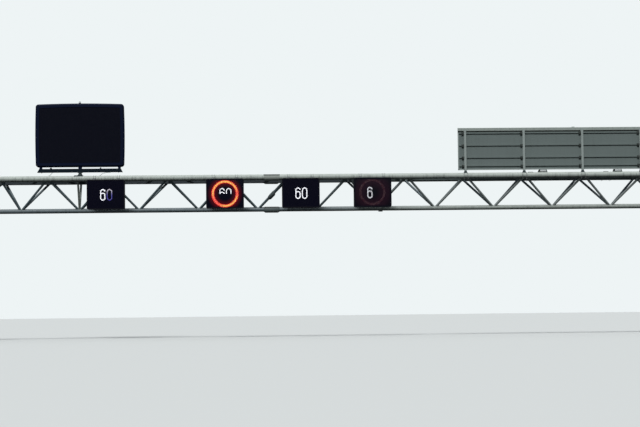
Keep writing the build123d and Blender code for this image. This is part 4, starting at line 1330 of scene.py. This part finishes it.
# Cable tray

def tray_strut(bm):
    """The strut channel that runs along under the tray."""
    low_z, high_z = TRAY_LOW.z - STRUT_HEIGHT, TRAY_LOW.z + FINE_SINK
    for y in (TRAY_LOW.y, TRAY_HIGH.y - STRUT_WIDTH):
        block(bm, (TRAY_LOW.x, y, low_z), (TRAY_HIGH.x, y + STRUT_WIDTH, high_z))


def tray_hangers(bm):
    """A strap over each lacing cross bar, with the two rods that hold the tray."""
    low_z = TOP_Z + LACING_RADIUS
    high_z = low_z + TRAY_STRAP_THICKNESS
    for number in range(1, BAY_COUNT):
        x = top_node_x(number)
        if TRAY_LOW.x < x < TRAY_HIGH.x:
            for y in (TRAY_LOW.y - ROD_GAP, TRAY_HIGH.y + ROD_GAP):
                sweep(bm, [(x, y, TRAY_LOW.z + TRAY_LIP), (x, y, high_z)], M12 / 2, sides=10)
                bolt(bm, (x, y, high_z), UP, M12)
            block(bm, (x - TRAY_STRAP_HALF, TRAY_LOW.y - TRAY_LIP, low_z),
                  (x + TRAY_STRAP_HALF, TRAY_HIGH.y + TRAY_LIP, high_z), bevel=0.001)


def tray_joints(bm):
    """Joint plates with bolts on the tray's sides, one in each bay."""
    low_z, high_z = TRAY_LOW.z + TRAY_LIP, TRAY_HIGH.z - TRAY_LIP
    for number in range(BAY_COUNT):
        x = bottom_node_x(number)
        if TRAY_LOW.x + TRAY_JOINT_MARGIN < x < TRAY_HIGH.x - TRAY_JOINT_MARGIN:
            for inner_y, outward in ((TRAY_LOW.y, -1), (TRAY_HIGH.y, 1)):
                outer_y = inner_y + outward * TRAY_JOINT_THICKNESS
                block(bm, (x - TRAY_JOINT_HALF, min(inner_y, outer_y), low_z),
                      (x + TRAY_JOINT_HALF, max(inner_y, outer_y), high_z), bevel=0.001)
                for along in TRAY_BOLT_SHIFTS:
                    point = (x + along, outer_y, TRAY_LOW.z + TRAY_BOLT_RISE)
                    turn(bm, point, (0, outward, 0), TRAY_BOLT_HEAD, sides=8)


# Splice sleeves

def sleeve_shell(bm, centre, axis, bar_radius, barrel_radius, drop, length, taper):
    """A barrel that hangs a little low round a bar, with a cone at each end."""
    sideways = axis.cross(UP).normalized()
    down = axis.cross(sideways)
    down *= -math.copysign(1, down.z)
    half = length / 2
    rings = []
    for along, radius, low in ((-half, bar_radius + SLEEVE_RIM, 0), (taper - half, barrel_radius, drop),
                               (half - taper, barrel_radius, drop), (half, bar_radius + SLEEVE_RIM, 0)):
        rings.append(circle(centre + axis * along + down * low, sideways, down, radius, TUBE_SIDES))
    skin(bm, rings)


def chord_sleeves():
    """Middle, chord radius, barrel radius and drop of the three chord sleeves."""
    return [
        (Vector((SPLICE_X, FRONT_Y, TOP_Z)), TOP_CHORD_RADIUS, FRONT_SLEEVE_RADIUS, FRONT_SLEEVE_DROP),
        (Vector((SPLICE_X, REAR_Y, TOP_Z)), TOP_CHORD_RADIUS, REAR_SLEEVE_RADIUS, REAR_SLEEVE_DROP),
        (Vector((SPLICE_X, 0, BOTTOM_Z)), BOTTOM_CHORD_RADIUS, BOTTOM_SLEEVE_RADIUS, BOTTOM_SLEEVE_DROP),
    ]


def sleeve_shells(bm):
    """The sheet sleeves round the joint of the three chords and of the web bar in each leaning face."""
    for centre, *section in chord_sleeves():
        sleeve_shell(bm, centre, ALONG_X, *section, CHORD_SLEEVE_LENGTH, CHORD_SLEEVE_TAPER)
    for side_y in (FRONT_Y, REAR_Y):
        for foot, head in web_axes(side_y):
            if min(foot.x, head.x) < SPLICE_X < max(foot.x, head.x):
                share = (SPLICE_X - foot.x) / (head.x - foot.x)
                sleeve_shell(bm, foot.lerp(head, share), (head - foot).normalized(), WEB_RADIUS,
                             WEB_SLEEVE_RADIUS, WEB_SLEEVE_DROP, WEB_SLEEVE_LENGTH, WEB_SLEEVE_TAPER)


def sleeve_bolts(bm):
    """The two rows of bolts that close each chord sleeve."""
    for centre, _, barrel_radius, drop in chord_sleeves():
        for along in spread(SLEEVE_BOLT_COUNT, SLEEVE_BOLT_PITCH):
            for slope in SLEEVE_BOLT_SLOPES:
                angle = math.radians(slope)
                out = Vector((0, math.cos(angle), math.sin(angle)))
                point = centre + ALONG_X * along - UP * drop + out * (barrel_radius - FINE_SINK)
                bolt(bm, point, out, M16, stud=0.5)


# Every new piece: name, shape, finish and slot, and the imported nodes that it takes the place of

def make_pieces():
    """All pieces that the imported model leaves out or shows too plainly."""
    first, ringed, _, faint = SIGNAL_X
    pieces = (
        ("web_tubes_front", tubes(web_axes(FRONT_Y), WEB_RADIUS), "shaded_web_paint", "gantry_paint",
         "web_front_left", "web_front_right"),
        ("web_tubes_rear", tubes(web_axes(REAR_Y), WEB_RADIUS), "rear_shaded_web_paint", "gantry_paint",
         "web_rear_left", "web_rear_right"),
        ("lacing_tubes", tubes(lacing_axes(), LACING_RADIUS), "shaded_rear_chord_paint", "gantry_paint",
         "top_lacing_left", "top_lacing_right"),
        ("truss_welds", truss_welds, "pale_gantry_paint", "gantry_paint"),
        ("left_bracing_tubes", leg_tubes(-1), "pale_gantry_paint", "gantry_paint", "left_leg_bracing"),
        ("right_bracing_tubes", leg_tubes(1), "pale_gantry_paint", "gantry_paint", "right_leg_bracing"),
        ("anchor_bolts", anchor_bolts, "bolt_zinc", "galvanised_steel"),
        ("head_straps", head_straps, "bolt_zinc", "galvanised_steel"),
        ("lit_numbers", dots(white_pixels()), "lit_white", "display_black"),
        ("soft_number", dots(lit_pixels(faint, six_lit, LEFT_DIGIT)), "soft_white", "display_black"),
        ("dim_number", dots(lit_pixels(first, zero_lit, RIGHT_DIGIT)), "dim_blue_white", "display_black"),
        ("lit_ring_core", dots(lit_pixels(ringed, ring_core_lit)), "glaring_amber", "display_black"),
        ("lit_ring_edge", dots(lit_pixels(ringed, ring_edge_lit)), "lit_red", "display_black"),
        ("faint_ring", dots(lit_pixels(faint, faint_ring_lit, FAINT_RING_SHIFT)), "faint_red",
         "display_black"),
        ("red_glow_panel", glow_panel(ringed), "red_glow_display", "display_black"),
        ("faint_glow_panel", glow_panel(faint), "faint_glow_display", "display_black"),
        ("signal_fittings", signal_fittings, "signal_case_black", "signal_black"),
        ("hanger_bolts", hanger_bolts, "bolt_zinc", "galvanised_steel"),
        ("message_fittings", message_fittings, "message_case_black", "case_black"),
        ("message_bolts", message_bolts, "bolt_zinc", "galvanised_steel"),
        ("cross_beam_welds", cross_beam_welds, "message_post_paint", "gantry_paint"),
        ("message_glands", message_glands, "black_rubber", "dark_steel_paint"),
        ("message_pipes", message_pipes, "sign_trim_grey", "galvanised_steel"),
        ("sign_sheet", sign_sheet, "blue_sheeting", "sign_back_grey"),
        ("sign_border", sign_border, "white_sheeting", "sign_back_grey"),
        ("sign_clips", sign_clips, "clip_and_shadow_strip_grey", "gear_dark"),
        ("sign_edges", sign_edges, "sign_trim_grey", "sign_trim_grey"),
        ("sign_cap_shadow", sign_cap_shadow, "clip_and_shadow_strip_grey", "sign_back_grey"),
        ("sign_foot_bolts", sign_foot_bolts, "bolt_zinc", "galvanised_steel"),
        ("sign_rivets", sign_rivets, "blue_sheeting", "sign_back_grey"),
        ("lamp_bodies", lamp_bodies, "lamp_grey", "lamp_grey", "lamp_heads"),
        ("lamp_lenses", lamp_lenses, "lamp_glass", "lamp_grey"),
        ("lamp_bezels", lamp_bezels, "lamp_grey", "lamp_grey"),
        ("lamp_fittings", lamp_fittings, "lamp_grey", "lamp_grey"),
        ("lamp_tubes", lamp_tubes, "black_rubber", "gear_dark"),
        ("gear_lids", gear_lids, "gear_box_dark", "gear_dark"),
        ("gear_fittings", gear_fittings, "bolt_zinc", "galvanised_steel"),
        ("tray_strut", tray_strut, "shaded_tray_zinc", "galvanised_steel"),
        ("tray_hangers", tray_hangers, "shaded_tray_zinc", "galvanised_steel"),
        ("tray_joints", tray_joints, "shaded_tray_zinc", "galvanised_steel"),
        ("sleeve_shells", sleeve_shells, "splice_sleeve_shaded_grey", "sleeve_grey", "splice_sleeves"),
        ("sleeve_bolts", sleeve_bolts, "bolt_zinc", "galvanised_steel"),
    )
    for name, shape, finish, slot, *replaced in pieces:
        new_piece(name, shape, finish, replaced)


# Stage

def make_floor():
    """A plain pale floor that keeps the gantry's shadow and throws little light back up."""
    bpy.ops.mesh.primitive_circle_add(vertices=96, radius=FLOOR_RADIUS, fill_type="NGON", location=(0, 0, 0))
    floor = bpy.context.object
    floor.name = "floor"
    tree, shader = new_material("pale_floor")
    seen = add(tree, "ShaderNodeLightPath").outputs["Is Camera Ray"]
    fill(tree, shader, {"Base Color": blend(tree, seen, colour(70, 74, 74), colour(208, 212, 211)),
                        "Roughness": 0.9, "Specular IOR Level": 0.1})
    floor.data.materials.append(MATERIALS["pale_floor"])


def make_sky():
    """A pale backdrop to the eye, and soft light that comes mostly from above."""
    world = bpy.data.worlds.new("pale_sky")
    bpy.context.scene.world = world
    world.use_nodes = True
    tree = world.node_tree
    tree.nodes.clear()
    height = axes_of(tree, add(tree, "ShaderNodeTexCoord").outputs["Generated"])["Z"]
    horizon, zenith = (0.1, 0.112, 0.12, 1), (0.7, 0.71, 0.73, 1)
    light = blend(tree, ramp(tree, height, 0.1, 1.0), horizon, zenith)
    path = add(tree, "ShaderNodeLightPath").outputs
    seen = calculate(tree, "MAXIMUM", path["Is Camera Ray"], path["Is Transmission Ray"])
    backdrop = blend(tree, seen, light, colour(238, 244, 245))
    background = add(tree, "ShaderNodeBackground", {"Color": backdrop})
    add(tree, "ShaderNodeOutputWorld", {"Surface": background.outputs[0]})


def make_sun():
    """One wide soft light from high on the left."""
    light = bpy.data.lights.new("soft_sun", "SUN")
    light.energy = SUN_STRENGTH
    light.angle = math.radians(SUN_SPREAD)
    sun = bpy.data.objects.new("soft_sun", light)
    sun.rotation_euler = Euler((math.radians(SUN_TILT), math.radians(SUN_LEAN), 0))
    bpy.context.scene.collection.objects.link(sun)


def make_camera():
    """The camera that took the photo."""
    lens = bpy.data.cameras.new("photo_camera")
    lens.sensor_fit = "HORIZONTAL"
    lens.sensor_width = SENSOR_WIDTH
    lens.lens = FOCAL_PX / PHOTO_WIDTH_PX * SENSOR_WIDTH
    lens.clip_end = VIEW_DEPTH
    camera = bpy.data.objects.new("photo_camera", lens)
    aim = Euler((math.radians(90 + CAMERA_PITCH), 0, math.radians(-CAMERA_YAW))).to_matrix()
    turned = aim @ Matrix.Rotation(math.radians(CAMERA_ROLL), 3, "Z")
    camera.matrix_world = Matrix.Translation(CAMERA_PLACE) @ turned.to_4x4()
    bpy.context.scene.collection.objects.link(camera)
    bpy.context.scene.camera = camera


make_materials()
finish_nodes()
make_pieces()
make_floor()
make_sky()
make_sun()
make_camera()
bpy.context.scene.view_settings.view_transform = "Standard"
